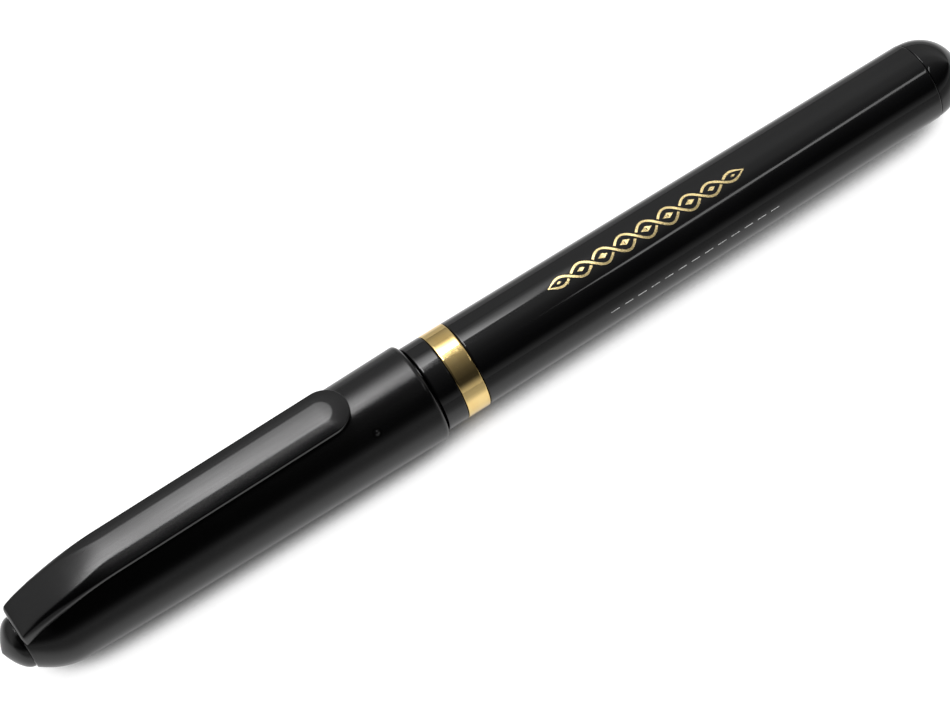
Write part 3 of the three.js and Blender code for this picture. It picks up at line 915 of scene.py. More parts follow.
@dataclass
class Clip(SubAssembly):
    """The clip, which wraps the cap's shoulder and runs along its top."""

    cap: Cap
    length: float = 47.2
    rise_length: float = 14.0
    seat_gap: float = 0.15
    tip_lift: float = 0.45
    tip_bevel: float = 2.1
    arm_width: float = 3.2
    arm_height: float = 7.0
    arm_side: float = 0.6
    top_width: float = 1.52
    top_height: float = 8.12
    top_crown: float = 0.07
    root_width: float = 2.5
    root_height: float = 2.8
    root_side: float = 1.3
    root_top_width: float = 2.35
    root_top_height: float = 4.7
    root_round: float = 0.4
    width_growth: float = 0.4
    top_growth: float = 0.75
    facet_narrowing: float = 10.0
    edge_round: float = 0.14
    side_round: float = 0.16
    facet_round: float = 0.12
    root_soft: float = 0.4
    under_steps: int = 6
    tip_steps: int = 18
    channel_half: float = 2.1
    channel_depth: float = 0.5
    pad_radius: float = 1.3
    pad_gap: float = 0.3
    tongue_start: float = 1.95
    tongue_end: float = 3.35
    tongue_half: float = 1.2
    tongue_foot: float = 2.87

    def rise(self, place: float) -> float:
        """How far the clip has risen: 0 at its root and 1 where the arm begins."""
        return 1 - (1 - min(place / self.rise_length, 1)) ** 2

    def lift(self, place: float) -> float:
        """How far the arm has lifted at a place."""
        return self.tip_lift * max(0.0, place - self.rise_length) / (self.length - self.rise_length)

    def edges(self, place: float) -> list[Corner]:
        """Half widths and heights of the lower edge, side, bevel and top at a place."""
        rise = self.rise(place)
        lift = self.lift(place)
        start = max(0.0, self.root_round - place)
        drop = self.root_round - math.sqrt(self.root_round**2 - start**2)
        width = lerp(self.root_width, self.arm_width, rise**self.width_growth) - drop
        low = lerp(self.root_height, self.arm_height, rise) + lift
        side = (width, low + lerp(self.root_side, self.arm_side, rise) - 0.4 * drop)
        top = (
            lerp(self.root_top_width, self.top_width, rise**self.facet_narrowing) - 0.7 * drop,
            lerp(self.root_top_height, self.top_height, rise**self.top_growth) + lift - drop,
        )
        bevel = (
            lerp(side[0], top[0], lerp(0.3, 0.5, rise)),
            lerp(side[1], top[1], lerp(0.7, 0.5, rise)),
        )
        return [(width, low), side, bevel, top]

    def seat_height(self, place: float, side: float, low: float) -> float:
        """Height of the clip's underside, on the cap's shoulder or at its own lower edge."""
        radius = self.cap.radius(place) + self.seat_gap
        return max(low, math.sqrt(max(radius**2 - side**2, 0.0)))

    def row(self, station: float, turn: float) -> list[Vector]:
        """One line of points across the near half, from the middle below to the middle above.

        Args:
            station: Place along the rise, or the rise's length plus a share of the straight arm.
            turn: Angle round the tip in degrees, 90 along the arm and 0 at the very tip.

        Returns:
            The points, always the same number.
        """
        tips = self.edges(self.length)
        insets = (0.0, 0.0, 0.5 * self.tip_bevel, self.tip_bevel)

        def spot(level: int, share: float) -> Vector:
            """Finds the point of one edge line, or of a line between it and the middle."""
            centre = self.length - insets[level] - tips[level][0]
            reach = max(0.0, station - self.rise_length)
            place = min(station, self.rise_length) + reach * (centre - self.rise_length)
            place += tips[level][0] * share * math.cos(math.radians(turn))
            half, height = self.edges(place)[level]
            side = half * share * math.sin(math.radians(turn))
            return Vector((place, side, height))

        under = [spot(0, i / self.under_steps) for i in range(self.under_steps + 1)]
        for point in under:
            point.z = self.seat_height(point.x, point.y, point.z)
        above = [spot(1, 1), spot(2, 1), spot(3, 1), spot(3, 0.5), spot(3, 0)]
        for point, share in zip(above[2:], (1.0, 0.25, 0.0)):
            point.z -= self.top_crown * share
        soft = self.root_soft * (1 - self.rise(min(station, self.rise_length))) ** 0.7
        reaches = [0.0] * self.under_steps
        reaches += [
            self.edge_round,
            self.side_round + soft,
            0.5 + soft,
            self.facet_round + soft,
            0.0,
            0.0,
        ]
        return rounded(under + above, reaches, 6)

    def rows(self) -> list[list[Vector]]:
        """Lines across the near half, from the root to the very tip."""
        begin = [self.root_round * (1 - math.cos(math.radians(11.25 * i))) for i in range(8)]
        rest = self.rise_length - self.root_round
        begin += [self.root_round + rest * (i / 40) ** 1.35 for i in range(41)]
        rows = [self.row(station, 90) for station in begin]
        rows += [self.row(self.rise_length + i / 12, 90) for i in range(1, 13)]
        steps = self.tip_steps
        rows += [self.row(self.rise_length + 1, 90 * (1 - i / steps)) for i in range(1, steps + 1)]
        return rows

    def build_body(self) -> bpy.types.Object:
        """Builds the skin over all lines, mirrored to the far side and closed at the root."""
        near = self.rows()
        mirror = [[Vector((p.x, -p.y, p.z)) for p in line] for line in reversed(near[:-1])]
        matrix = self.axis.matrix
        bm = bmesh.new()
        grid = [[bm.verts.new(matrix @ point) for point in line] for line in near + mirror]
        for a, b in zip(grid, grid[1:]):
            for i in range(len(a) - 1):
                bm.faces.new((a[i], b[i], b[i + 1], a[i + 1]))
        bm.faces.new(grid[0] + list(reversed(grid[-1])))
        bmesh.ops.remove_doubles(bm, verts=bm.verts[:], dist=2e-6)
        bmesh.ops.dissolve_degenerate(bm, edges=bm.edges[:], dist=1e-6)
        return to_object(bm, "clip_satin", 24.0)

    def build_channel(self) -> bpy.types.Object:
        """Builds the cutter for the shallow channel under the arm."""
        start = self.rise_length + self.channel_half
        end = self.length - 2 * self.arm_width - self.pad_radius
        shape = []
        for centre, first in ((start, 90), (end, -90)):
            for i in range(17):
                angle = math.radians(first + 180 * i / 16)
                turned = self.channel_half * Vector((math.cos(angle), math.sin(angle), 0))
                shape.append(Vector((centre - self.rise_length, 0, -1)) + turned)
        slope = math.atan2(self.tip_lift, self.length - self.rise_length)
        place = Matrix.Translation((self.rise_length, 0, self.arm_height))
        matrix = self.axis.matrix @ place @ Matrix.Rotation(-slope, 4, "Y")
        bm = bmesh.new()
        prism(bm, shape, Vector((0, 0, 1 + self.channel_depth)), matrix)
        return to_object(bm, "channel_cutter")

    def build_pad(self) -> bpy.types.Object:
        """Builds the pad under the tip, with a flat foot and an eased edge."""
        place = self.length - self.arm_width
        foot = self.cap.radius(place) + self.pad_gap
        head = self.edges(place)[0][1] + 0.3
        corners = [
            (foot, 0),
            (foot, 0.6 * self.pad_radius, 0.12),
            (foot + 0.35, self.pad_radius, 0.2),
            (head, self.pad_radius),
            (head, 0),
        ]
        return self.turned("pad_block", corners, self.axis.standing_at(place), 48)

    def build_tongue(self) -> bpy.types.Object:
        """Builds the tongue that goes down through the shell, with its hook."""
        foot = self.tongue_foot
        shape = [
            (self.tongue_start, foot),
            (self.tongue_end + 0.15, foot),
            (self.tongue_end + 0.5, foot + 0.42),
            (self.tongue_end, foot + 0.7),
            (self.tongue_end, self.edges(self.tongue_end)[3][1] - 0.4),
            (self.tongue_start, self.edges(self.tongue_start)[3][1] - 0.4),
        ]
        corners = [Vector((x, -self.tongue_half, z)) for x, z in shape]
        bm = bmesh.new()
        prism(bm, corners, Vector((0, 2 * self.tongue_half, 0)), self.axis.matrix)
        return to_object(bm, "tongue_block")

    def build(self) -> None:
        """Builds and dresses the clip."""
        clip = self.build_body()
        carve(clip, self.build_channel(), Cut.TAKE)
        carve(clip, self.build_pad(), Cut.ADD)
        carve(clip, self.build_tongue(), Cut.ADD)
        shade(clip.data, 24.0)
        self.fit(clip, Body.CLIP, self.finishes.satin, "clip")


@dataclass
class InnerCap(SubAssembly):
    """The cup inside the cap that seals on the nose."""

    rear: float = 4.6
    floor: float = 13.05
    mouth: float = 30.05
    seal: float = 25.05
    bore: float = 3.52
    radius: float = 4.22
    nib_room: float = 1.3
    flute_start: float = 7.6
    flute_radius: float = 4.66
    flute_half: float = 0.5
    flute_count: int = 6

    def build(self) -> None:
        """Builds and dresses the cup with its flutes."""
        cup = self.turned(
            "inner_cap_frosted",
            [
                (self.floor - 1, 0),
                (self.floor - 1, self.bore, 0.3),
                (self.rear, self.bore, 0.1),
                (self.rear, self.radius, 0.15),
                (self.mouth, self.radius, 0.3),
                (self.mouth, self.bore + 0.2, 0.12),
                (self.mouth - 0.5, self.bore, 0.3),
                (self.seal, self.bore, 0.3),
                (self.seal - 0.5, self.bore - 0.5, 0.3),
                (self.floor + 1.5, self.nib_room + 0.8, 0.5),
                (self.floor, self.nib_room, 0.3),
                (self.floor, 0),
            ],
        )
        low = (self.flute_start, -self.flute_half, self.radius - 0.3)
        high = (self.mouth - 0.3, self.flute_half, self.flute_radius)
        angles = [360 * i / self.flute_count for i in range(self.flute_count)]
        carve(cup, self.blocks("flutes", low, high, angles), Cut.ADD)
        self.fit(cup, Body.INNER_CAP, self.finishes.frosted, "inner_cap")


@dataclass
class Section(SubAssembly):
    """The front section with its nib and the cone that holds it."""

    nose_end: float = 25.85
    nose_radius: float = 3.4
    grip_end: float = 30.85
    grip_front: float = 4.65
    grip_radius: float = 5.0
    ring_count: int = 5
    ring_pitch: float = 2.0
    ring_start: float = 9.0
    ring_depth: float = 0.22
    ring_half: float = 0.35
    collar: float = 56.85
    collar_end: float = 59.65
    collar_radius: float = 5.83
    ridge: float = 51.45
    ridge_length: float = 1.2
    ridge_radius: float = 5.28
    spigot_end: float = 69.15
    spigot_radius: float = 4.65
    socket_radius: float = 4.2
    socket_floor: float = 45.85
    chamber: float = 35.35
    chamber_radius: float = 3.55
    guide_end: float = 45.35
    guide_radius: float = 2.0
    nib_bore: float = 1.1
    holder_bore: float = 2.3
    holder_spigot: float = 2.2
    holder_spigot_end: float = 29.15
    groove_half: float = 0.25
    rib_half: float = 0.35
    rib_count: int = 4
    nib_tip: float = 17.05
    nib_end: float = 51.45
    nib_radius: float = 1.0
    nib_point: float = 1.8
    cone_tip: float = 21.05

    def grip_rings(self) -> list[Corner]:
        """Corners of the shallow rings round the grip, from front to back."""
        slope = (self.grip_radius - self.grip_front) / (self.collar - self.grip_end)
        corners: list[Corner] = []
        for i in reversed(range(self.ring_count)):
            middle = self.collar - self.ring_start - i * self.ring_pitch
            radius = self.grip_radius - slope * (self.collar - middle)
            corners += [
                (middle - self.ring_half, radius, 0.12),
                (middle, radius - self.ring_depth, 0.2),
                (middle + self.ring_half, radius, 0.12),
            ]
        return corners

    def build_section(self) -> bpy.types.Object:
        """Builds the section with its ridge, collar, guide ribs and air groove."""
        ridge_end = self.ridge + self.ridge_length
        section = self.turned(
            "front_section_polished",
            [
                (self.nose_end, self.holder_bore),
                (self.nose_end, self.nose_radius - 0.5, 0.1),
                (self.nose_end + 0.5, self.nose_radius, 0.3),
                (self.grip_end, self.nose_radius, 0.1),
                (self.grip_end, self.grip_front - 0.4, 0.12),
                (self.grip_end + 0.6, self.grip_front, 0.4),
                *self.grip_rings(),
                (self.ridge, self.grip_radius, 0.15),
                (self.ridge + 0.42, self.ridge_radius, 0.25),
                (ridge_end - 0.42, self.ridge_radius, 0.25),
                (ridge_end, self.grip_radius, 0.15),
                (self.collar, self.grip_radius, 0.1),
                (self.collar, self.collar_radius, 0.22),
                (self.collar_end, self.collar_radius, 0.1),
                (self.collar_end, self.spigot_radius),
                (self.spigot_end - 0.8, self.spigot_radius, 0.3),
                (self.spigot_end, self.spigot_radius - 0.2, 0.1),
                (self.spigot_end, self.socket_radius, 0.1),
                (self.socket_floor, self.socket_radius, 0.1),
                (self.socket_floor, self.chamber_radius, 0.1),
                (self.chamber, self.chamber_radius, 0.3),
                (self.chamber, self.guide_radius, 0.2),
                (self.guide_end, self.guide_radius, 0.1),
                (self.guide_end, self.nib_bore, 0.1),
                (self.holder_spigot_end + 0.1, self.nib_bore, 0.05),
                (self.holder_spigot_end + 0.1, self.holder_bore, 0.1),
                (self.nose_end, self.holder_bore),
            ],
        )
        low = (self.chamber - 0.3, -self.rib_half, self.guide_radius - 0.3)
        high = (self.guide_end, self.rib_half, self.chamber_radius + 0.3)
        angles = [45 + 360 * i / self.rib_count for i in range(self.rib_count)]
        carve(section, self.blocks("guide_ribs", low, high, angles), Cut.ADD)
        low = (self.holder_spigot_end - 0.1, -self.groove_half, 0.5 * self.nib_radius)
        high = (self.chamber + 1, self.groove_half, self.nib_bore + 0.4)
        carve(section, self.blocks("groove_cutter", low, high, [0.0]), Cut.TAKE)
        return section

    def build_holder(self) -> bpy.types.Object:
        """Builds the cone that holds the nib, with an air groove along its bore."""
        base = self.nose_end - 0.1
        holder = self.turned(
            "nib_holder_grey",
            [
                (self.cone_tip, self.nib_bore),
                (self.cone_tip, self.nib_bore + 0.5, 0.25),
                (base - 0.5, self.nose_radius - 0.5, 0.3),
                (base, self.nose_radius - 0.5, 0.1),
                (base, self.holder_spigot, 0.05),
                (self.holder_spigot_end, self.holder_spigot, 0.25),
                (self.holder_spigot_end, self.nib_bore, 0.05),
                (self.cone_tip, self.nib_bore),
            ],
            sides=96,
        )
        low = (self.cone_tip - 1, -self.groove_half, 0.5 * self.nib_radius)
        high = (self.holder_spigot_end + 1, self.groove_half, self.nib_bore + 0.12)
        carve(holder, self.blocks("groove_cutter", low, high, [0.0]), Cut.TAKE)
        return holder

    def build_nib(self) -> bpy.types.Object:
        """Builds the fibre nib with its rounded point and tapered end."""
        corners: list[Corner] = []
        for i in range(15):
            angle = math.radians(90 * i / 14)
            place = self.nib_tip + self.nib_point * (1 - math.cos(angle))
            corners.append((place, self.nib_radius * math.sin(angle)))
        corners += [
            (self.nib_end - 1.4, self.nib_radius, 0.3),
            (self.nib_end, 0.5 * self.nib_radius, 0.2),
            (self.nib_end, 0),
        ]
        return self.turned("fibre_nib_inked", corners, sides=96)

    def build(self) -> None:
        """Builds and dresses the three pieces."""
        self.fit(self.build_section(), Body.PEN, self.finishes.polished, "front_section")
        self.fit(self.build_holder(), Body.PEN, self.finishes.holder, "nib_holder")
        self.fit(self.build_nib(), Body.PEN, self.finishes.ink, "fibre_nib")


@dataclass
class TrimRing(SubAssembly):
    """The plated ring between the collar and the barrel."""

    start: float = 59.75
    end: float = 62.85
    radius: float = 5.83
    bore: float = 4.75
    edge: float = 0.14

    def build(self) -> None:
        """Builds and dresses the ring, straight between its eased edges."""
        ring = self.turned(
            "trim_ring_gold",
            [
                (self.start, self.bore),
                (self.start, self.radius, self.edge),
                (self.end, self.radius, self.edge),
                (self.end, self.bore, 0.08),
                (self.start, self.bore),
            ],
        )
        self.fit(ring, Body.PEN, self.finishes.plating, "trim_ring")


@dataclass
class Barrel(SubAssembly):
    """The tapered barrel and the domed plug in its tail."""

    start: float = 62.95
    end: float = 131.35
    radius: float = 5.8
    tail_radius: float = 5.3
    bore: float = 4.75
    tail_bore: float = 4.55
    edge: float = 0.16
    rib_start: float = 70.15
    rib_end: float = 122.85
    rib_radius: float = 4.2
    rib_half: float = 0.3
    rib_count: int = 6
    dome_start: float = 131.42
    dome_length: float = 5.53
    dome_radius: float = 5.22
    dome_wall: float = 2.4
    spigot_start: float = 123.85
    spigot_wall: float = 0.95
    press_start: float = 121.45
    press_half: float = 0.45

    def radius_here(self, place: float) -> float:
        """Outer radius of the barrel at a place."""
        return lerp(self.radius, self.tail_radius, (place - self.start) / (self.end - self.start))

    def build_tube(self) -> bpy.types.Object:
        """Builds the tube with the ribs that centre the ink store."""
        tube = self.turned(
            "barrel_polished",
            [
                (self.start, self.bore),
                (self.start, self.radius, self.edge),
                (self.end, self.tail_radius, self.edge),
                (self.end, self.tail_bore, 0.08),
                (self.start, self.bore),
            ],
        )
        low = (self.rib_start, -self.rib_half, self.rib_radius)
        high = (self.rib_end, self.rib_half, self.bore + 0.3)
        angles = [30 + 360 * i / self.rib_count for i in range(self.rib_count)]
        carve(tube, self.blocks("barrel_ribs", low, high, angles), Cut.ADD)
        return tube

    def build_tail(self) -> bpy.types.Object:
        """Builds the tail's dome with its hollow spigot and crossed ribs."""
        spigot = self.tail_bore - 0.1
        bore = spigot - self.spigot_wall
        hollow_end = self.dome_start + self.dome_length - self.dome_wall
        corners: list[Corner] = [
            (hollow_end, 0),
            (hollow_end, 0.5 * bore, 0.4),
            (hollow_end - 1.5, bore, 0.4),
            (self.spigot_start, bore, 0.1),
            (self.spigot_start, spigot - 0.2, 0.1),
            (self.spigot_start + 0.6, spigot, 0.2),
            (self.dome_start, spigot),
            (self.dome_start, self.dome_radius, 0.12),
            (self.dome_start + 0.3, self.dome_radius - 0.008),
        ]
        for i in range(2, 37):
            angle = math.radians(90 * i / 36)
            place = self.dome_start + self.dome_length * math.sin(angle)
            corners.append((place, self.dome_radius * math.cos(angle) if i < 36 else 0.0))
        tail = self.turned("tail_dome_polished", corners)
        reach = bore + 0.2
        low = (self.press_start, -self.press_half, -reach)
        high = (self.spigot_start + 2, self.press_half, reach)
        for angle in (0.0, 90.0):
            carve(tail, self.blocks("press_rib", low, high, [angle]), Cut.ADD)
        return tail

    def build(self) -> None:
        """Builds and dresses both pieces."""
        self.fit(self.build_tube(), Body.PEN, self.finishes.polished, "barrel")
        self.fit(self.build_tail(), Body.PEN, self.finishes.polished, "tail_plug")


@dataclass
class BarrelOrnament(SubAssembly):
    """Foil ornament on the barrel: two woven strands with lozenges, and a line of fine dashes."""

    barrel: Barrel
    start: float = 75.5
    end: float = 104.5
    angle: float = -6.0
    eyes: int = 9
    swing: float = 1.2
    stroke: float = 0.32
    gap: float = 0.28
    proud: float = 0.012
    sunk: float = 0.02
    lozenge: Corner = (0.75, 0.42)
    dash_start: float = 81.0
    dash_end: float = 107.0
    dash_angle: float = -77.0
    dash_pitch: float = 2.0
    dash_size: Corner = (1.25, 0.13)

    def spot(self, place: float, across: float, angle: float, height: float) -> Vector:
        """Wraps a point onto the barrel.

        Args:
            place: Place along the pen.
            across: Distance round the barrel from the ornament's middle line.
            angle: Where that middle line lies.
            height: Height above the barrel's surface.

        Returns:
            The point in the frame.
        """
        radius = self.barrel.radius_here(place)
        turn = math.radians(angle) + across / radius
        out = radius + height
        return self.axis.matrix @ Vector((place, out * math.sin(turn), out * math.cos(turn)))

    def ribbon(self, bm: bmesh.types.BMesh, line: Sequence[Corner], angle: float) -> None:
        """Lays a thin closed strip of foil on the barrel.

        Args:
            bm: Mesh that takes the faces.
            line: Points of its middle as (place, across, half width).
            angle: Where the middle line of the ornament lies.
        """
        rings = []
        for i, (place, across, half) in enumerate(line):
            before = Vector(line[max(i - 1, 0)][:2])
            after = Vector(line[min(i + 1, len(line) - 1)][:2])
            way = (after - before).normalized()
            out = Vector((-way.y, way.x)) * half
            corners = []
            for sign, height in ((1, -self.sunk), (1, self.proud), (-1, self.proud), (-1, -self.sunk)):
                corners.append(self.spot(place + sign * out.x, across + sign * out.y, angle, height))
            rings.append([bm.verts.new(corner) for corner in corners])
        for a, b in zip(rings, rings[1:]):
            for i in range(4):
                j = (i + 1) % 4
                bm.faces.new((a[i], a[j], b[j], b[i]))
        bm.faces.new(rings[0])
        bm.faces.new(rings[-1])

    def wave(self, place: float, strand: int) -> float:
        """How far a strand swings to the side at a place."""
        share = (place - self.start) / (self.end - self.start)
        fade = math.sin(math.pi * min(max(share, 0), 1)) ** 0.35
        return strand * self.swing * fade * math.sin(math.pi * self.eyes * share)

    def build_band(self) -> bpy.types.Object:
        """Builds the woven band, with one strand broken where it passes under the other."""
        bm = bmesh.new()
        eye = (self.end - self.start) / self.eyes
        for strand in (1, -1):
            for i in range(self.eyes):
                under_first = (i % 2 == 0) == (strand == 1)
                first = self.start + i * eye + (self.gap if under_first and i else 0.0)
                last = self.start + (i + 1) * eye
                if not under_first and i < self.eyes - 1:
                    last -= self.gap
                line = []
                for j in range(29):
                    place = lerp(first, last, j / 28)
                    ends = min(place - self.start, self.end - place)
                    half = 0.5 * self.stroke * min(1.0, 0.35 + ends / 2.4)
                    line.append((place, self.wave(place, strand), half))
                self.ribbon(bm, line, self.angle)
        for i in range(self.eyes):
            middle = self.start + (i + 0.5) * eye
            size = math.sin(math.pi * (i + 0.5) / self.eyes) ** 0.5
            line = []
            for j in range(9):
                along = lerp(-1, 1, j / 8)
                half = self.lozenge[1] * size * max(1 - abs(along), 0.04)
                line.append((middle + along * self.lozenge[0] * size, 0.0, half))
            self.ribbon(bm, line, self.angle)
        return to_object(bm, "barrel_foil_band")

    def build_dashes(self) -> bpy.types.Object:
        """Builds the line of fine dashes lower on the barrel."""
        bm = bmesh.new()
        count = int((self.dash_end - self.dash_start) / self.dash_pitch)
        for i in range(count):
            start = self.dash_start + i * self.dash_pitch
            line = [(start + self.dash_size[0] * j / 4, 0.0, self.dash_size[1] / 2) for j in range(5)]
            self.ribbon(bm, line, self.dash_angle)
        return to_object(bm, "barrel_silver_dashes")

    def build(self) -> None:
        """Builds and dresses both prints."""
        self.fit(self.build_band(), Body.PEN, self.finishes.gold_foil)
        self.fit(self.build_dashes(), Body.PEN, self.finishes.silver_foil)


@dataclass
class InkStore(SubAssembly):
    """The fibre core, its film and the breather tube, which the barrel hides."""

    def build(self) -> None:
        """Dresses the three solids."""
        finishes = {
            "ink_reservoir": self.finishes.ink,
            "reservoir_film": self.finishes.film,
            "breather_tube": self.finishes.frosted,
        }
        for node, finish in finishes.items():
            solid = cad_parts[node]
            solid.data.materials.clear()
            solid.data.materials.append(finish.material)
            log.info("%s: dressed", node)


# Studio


@dataclass(frozen=True)
class Glow:
    """A soft lamp hung level above the pen.

    Attributes:
        name: Name of the lamp.
        corners: Its corners as (x, y) in metres.
        across: Brightness through stops of (y in metres, brightness).
        along: Share of that brightness through stops of (x in metres, share).
    """

    name: str
    corners: Sequence[Corner]
    across: Sequence[Corner]
    along: Sequence[Corner] = ((-1.0, 1.0), (1.0, 1.0))


@dataclass
class Studio:
    """Pale floor, lamps, surroundings and camera.

    Attributes:
        axis: The pen's axis.
        lamp_height: Height of the lamps in metres.
        strip_half: Half the strip's width in metres.
        strip_level: Brightness of the strip.
        floor_half: Half the floor's width in metres.
        floor_greys: Lowest and highest grey of the floor.
        shade_reach: How far in metres the pen's painted shadow reaches on the floor.
        shade_samples: How finely that darkening is sampled.
        painted_shadow_levels: Floor brightness through stops of (open air, brightness), which paints the
            pen's shadow on the floor.
        painted_reflection_levels: Share of it that glossy surfaces see, through stops of (y in metres,
            share), a painted reflection of the floor on the pen.
        room_levels: Brightness of the room through stops of (angle from straight up, brightness).
        tilt: How far the pen's tail leans away from the camera, in degrees.
        turn: How far the pen lies turned in the picture, in degrees.
        roll: How far the clip is rolled from facing the camera, in degrees.
        focal: Focal length in pixels of the picture.
        width: Width of the picture in pixels.
        sensor: Width of the sensor in millimetres.
        distance: Distance of the camera from the place that it is set up from, in metres.
        look_at: That place along the pen, in millimetres from the rim.
        aside: How far the camera stands to the side of it, in millimetres.
    """

    axis: PenAxis
    lamp_height: float = 0.5
    strip_half: float = 0.022
    strip_level: float = 3.4
    floor_half: float = 3.0
    floor_greys: Corner = (0.36, 0.40)
    shade_reach: float = 0.03
    shade_samples: int = 24
    painted_shadow_levels: Sequence[Corner] = (
        (0.0, 0.0), (0.2, 0.02), (0.255, 0.07), (0.31, 0.17), (0.36, 0.34), (0.40, 0.53), (0.435, 0.73),
        (0.46, 0.85), (0.5, 0.97), (0.55, 1.0), (1.0, 1.0),
    )
    painted_reflection_levels: Sequence[Corner] = (
        (-0.06, 0.16), (-0.035, 0.18), (-0.024, 0.34), (-0.016, 0.75), (0.016, 0.75), (0.035, 0.18),
    )
    room_levels: Sequence[Corner] = (
        (-90, 0.52), (-84, 0.42), (-78, 0.24), (-73, 0.1), (-68, 0.03), (-57, 0.03), (-47, 0.05),
        (-37, 0.07), (-28, 0.11), (-18, 0.17), (-8, 0.26), (2, 0.42), (18, 0.5), (30, 0.62), (43, 0.6),
        (57, 0.5), (72, 0.4), (90, 0.25),
    )
    tilt: float = 10.5
    turn: float = 32.0
    roll: float = 30.0
    focal: float = 3000.0
    width: float = 950.0
    sensor: float = 36.0
    distance: float = 0.367
    look_at: float = 64.1
    aside: float = 0.4284

    def glows(self) -> list[Glow]:
        """Lists the lamps: a wide panel behind the cap, a dark card before it and a thin strip."""
        panel = Glow(
            "panel",
            [
                (-0.20, 0.17), (0.02, 0.165), (0.028, 0.045), (0.062, 0.05), (0.08, 0.168), (0.125, 0.185),
                (0.16, 0.34), (0.20, 0.69), (-0.05, 0.69), (-0.07, 0.29), (-0.12, 0.23),
            ],
            [(0.045, 8.5), (0.14, 8.0), (0.20, 5.6), (0.33, 3.5), (0.48, 1.4), (0.69, 0.6)],
            [(-0.2, 1.8), (0.02, 1.8), (0.045, 1.15), (0.095, 1.2), (0.11, 1.05), (0.125, 0.6), (0.2, 0.6)],
        )
        shade_card = Glow(
            "shade_card",
            [(-0.5, -1.1), (0.1, -1.1), (0.1, 0.03), (-0.5, 0.03)],
            [
                (-1.1, 0.03), (-0.75, 0.03), (-0.53, 0.05), (-0.37, 0.08), (-0.26, 0.11), (-0.16, 0.17),
                (0.03, 0.4),
            ],
            [(-0.5, 0.1), (0.02, 0.12), (0.045, 0.45), (0.1, 1.0)],
        )
        start = Vector((0.155, -0.262))
        end = Vector((0.33, -0.110))
        way = (end - start).normalized()
        half = self.strip_half * Vector((-way.y, way.x))
        ends = [start + half, start - half, end - half, end + half]
        strip = Glow("strip", ends, [(-0.3, self.strip_level), (0.0, self.strip_level)])
        return [panel, shade_card, strip]

    def hang(self, glow: Glow) -> None:
        """Hangs one lamp, unseen by the camera.

        Args:
            glow: The lamp.
        """
        shading = Shading(glow.name + "_light")
        shading.tree.nodes.remove(shading.surface)
        emission = shading.tree.nodes.new("ShaderNodeEmission")
        where = shading.place_in_metres()
        across = shading.curve(where.outputs["Y"], glow.across)
        along = shading.curve(where.outputs["X"], glow.along)
        shading.link(shading.combine(across, along, "MULTIPLY"), emission.inputs["Strength"])
        shading.link(emission.outputs[0], shading.output.inputs["Surface"])
        bm = bmesh.new()
        bm.faces.new([bm.verts.new((x, y, self.lamp_height)) for x, y in glow.corners])
        lamp = to_object(bm, glow.name)
        lamp.data.materials.append(shading.material)
        lamp.visible_camera = False

    def lay_floor(self) -> None:
        """Lays the white floor, whose glow dims by ambient occlusion near the pen, a painted shadow."""
        shading = Shading("white_floor")
        grain = shading.noise((0.5, 0.5, 0.5), 3.0)
        dark, pale = self.floor_greys
        shading.put("Base Color", shading.mix(grain, (dark, dark, dark), (pale, pale, pale)))
        shading.put("Roughness", shading.fit(grain, 0.3, 0.7, 0.6, 0.8))
        shading.put("Specular IOR Level", 0.1)
        open_air = shading.tree.nodes.new("ShaderNodeAmbientOcclusion")
        open_air.samples = self.shade_samples
        open_air.inputs["Distance"].default_value = self.shade_reach
        seen = shading.tree.nodes.new("ShaderNodeLightPath")
        where = shading.place_in_metres()
        # Painted reflection: glossy surfaces see the floor at a share of its glow that changes across the
        # pen, highest close beside it.
        mirrored = shading.curve(where.outputs["Y"], self.painted_reflection_levels)
        mirrored = shading.combine(mirrored, seen.outputs["Is Glossy Ray"], "MULTIPLY")
        eye = shading.combine(seen.outputs["Is Camera Ray"], seen.outputs["Is Transmission Ray"], "MAXIMUM")
        # Painted shadow: the floor's glow fades where the pen shuts out the open air.
        glow = shading.curve(open_air.outputs["AO"], self.painted_shadow_levels)
        shading.put("Emission Color", (1, 1, 1, 1))
        shading.put("Emission Strength", shading.combine(glow, shading.sum(eye, mirrored), "MULTIPLY"))
        half = self.floor_half
        bm = bmesh.new()
        corners = [(-half, -half), (half, -half), (half, half), (-half, half)]
        bm.faces.new([bm.verts.new((x, y, 0)) for x, y in corners])
        floor = to_object(bm, "floor")
        floor.data.materials.append(shading.material)

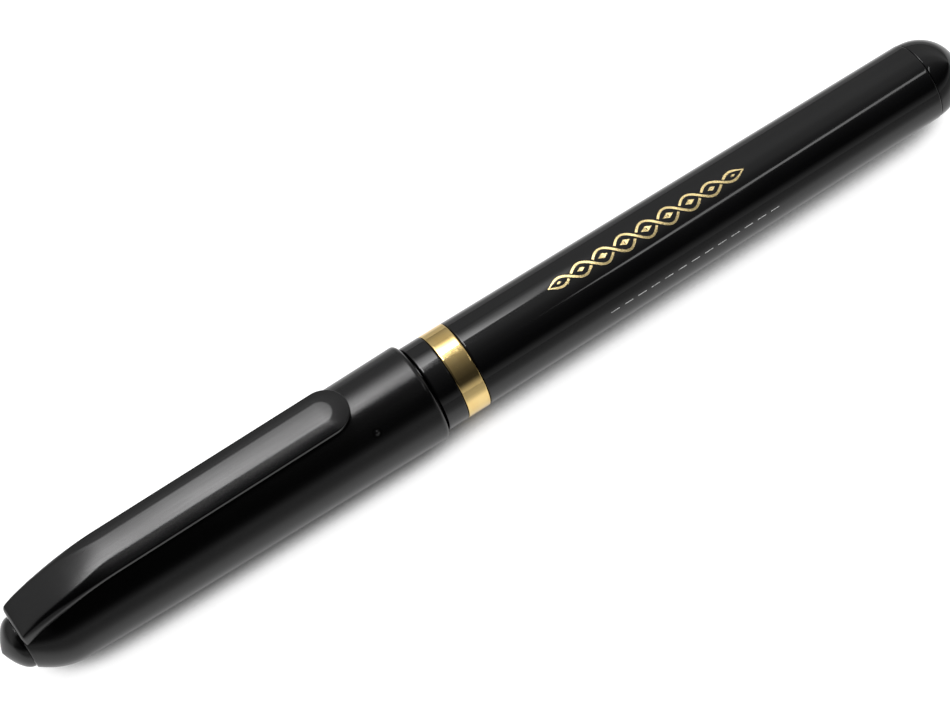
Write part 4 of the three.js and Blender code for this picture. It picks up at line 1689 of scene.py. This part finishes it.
    def surround(self) -> None:
        """Fills the room with soft light, low above the cap and high to the sides."""
        world = bpy.data.worlds.new("room")
        world.use_nodes = True
        bpy.context.scene.world = world
        tree = world.node_tree
        tree.nodes.clear()
        where = tree.nodes.new("ShaderNodeTexCoord")
        parts = tree.nodes.new("ShaderNodeSeparateXYZ")
        turn = tree.nodes.new("ShaderNodeMath")
        turn.operation = "ARCTAN2"
        share = tree.nodes.new("ShaderNodeMapRange")
        share.inputs["From Min"].default_value = -math.pi / 2
        share.inputs["From Max"].default_value = math.pi / 2
        ramp = tree.nodes.new("ShaderNodeValToRGB")
        set_stops(ramp.color_ramp, [((angle + 90) / 180, level) for angle, level in self.room_levels])
        room = tree.nodes.new("ShaderNodeBackground")
        white = tree.nodes.new("ShaderNodeBackground")
        seen = tree.nodes.new("ShaderNodeLightPath")
        choose = tree.nodes.new("ShaderNodeMixShader")
        output = tree.nodes.new("ShaderNodeOutputWorld")
        for start, end in (
            (where.outputs["Generated"], parts.inputs[0]),
            (parts.outputs["Y"], turn.inputs[0]),
            (parts.outputs["Z"], turn.inputs[1]),
            (turn.outputs[0], share.inputs["Value"]),
            (share.outputs["Result"], ramp.inputs[0]),
            (ramp.outputs[0], room.inputs["Color"]),
            (seen.outputs["Is Camera Ray"], choose.inputs[0]),
            (room.outputs[0], choose.inputs[1]),
            (white.outputs[0], choose.inputs[2]),
            (choose.outputs[0], output.inputs["Surface"]),
        ):
            tree.links.new(start, end)
        white.inputs["Color"].default_value = (1, 1, 1, 1)

    def set_camera(self) -> None:
        """Sets the camera at the photograph's angle, as fitted to the pen's outline."""
        tilt, turn, roll = (math.radians(angle) for angle in (self.tilt, self.turn, self.roll))
        along = Vector((math.cos(tilt) * math.cos(turn), math.cos(tilt) * math.sin(turn), -math.sin(tilt)))
        facing = Vector((math.sin(tilt) * math.cos(turn), math.sin(tilt) * math.sin(turn), math.cos(tilt)))
        beside = Vector((-math.sin(turn), math.cos(turn), 0))
        up = math.cos(roll) * facing + math.sin(roll) * beside
        across = up.cross(along)
        view_to_frame = Matrix((along, across, up))
        data = bpy.data.cameras.new("camera")
        data.sensor_fit = "HORIZONTAL"
        data.sensor_width = self.sensor
        data.lens = self.focal * self.sensor / self.width
        data.clip_start = 0.01
        camera = bpy.data.objects.new("camera", data)
        bpy.context.scene.collection.objects.link(camera)
        target = self.axis.matrix @ Vector((self.look_at, 0, 0))
        back = Vector((0, 0, self.distance)) - self.aside * MM * beside
        camera.matrix_world = Matrix.Translation(target + view_to_frame @ back) @ view_to_frame.to_4x4()
        bpy.context.scene.camera = camera

    def build(self) -> None:
        """Sets up the studio."""
        self.lay_floor()
        for glow in self.glows():
            self.hang(glow)
        self.surround()
        self.set_camera()
        bpy.context.scene.view_settings.view_transform = "Standard"
        log.info("studio: ready")


def main() -> None:
    """Builds the pen piece by piece, then the studio."""
    logging.basicConfig(level=logging.INFO, format="%(message)s")
    axis = PenAxis.from_frame()
    finishes = Finishes()
    cap = Cap(axis, finishes)
    barrel = Barrel(axis, finishes)
    cap.build()
    Clip(axis, finishes, cap).build()
    InnerCap(axis, finishes).build()
    Section(axis, finishes).build()
    TrimRing(axis, finishes).build()
    barrel.build()
    BarrelOrnament(axis, finishes, barrel).build()
    InkStore(axis, finishes).build()
    Studio(axis).build()


if __name__ == "__main__":
    main()
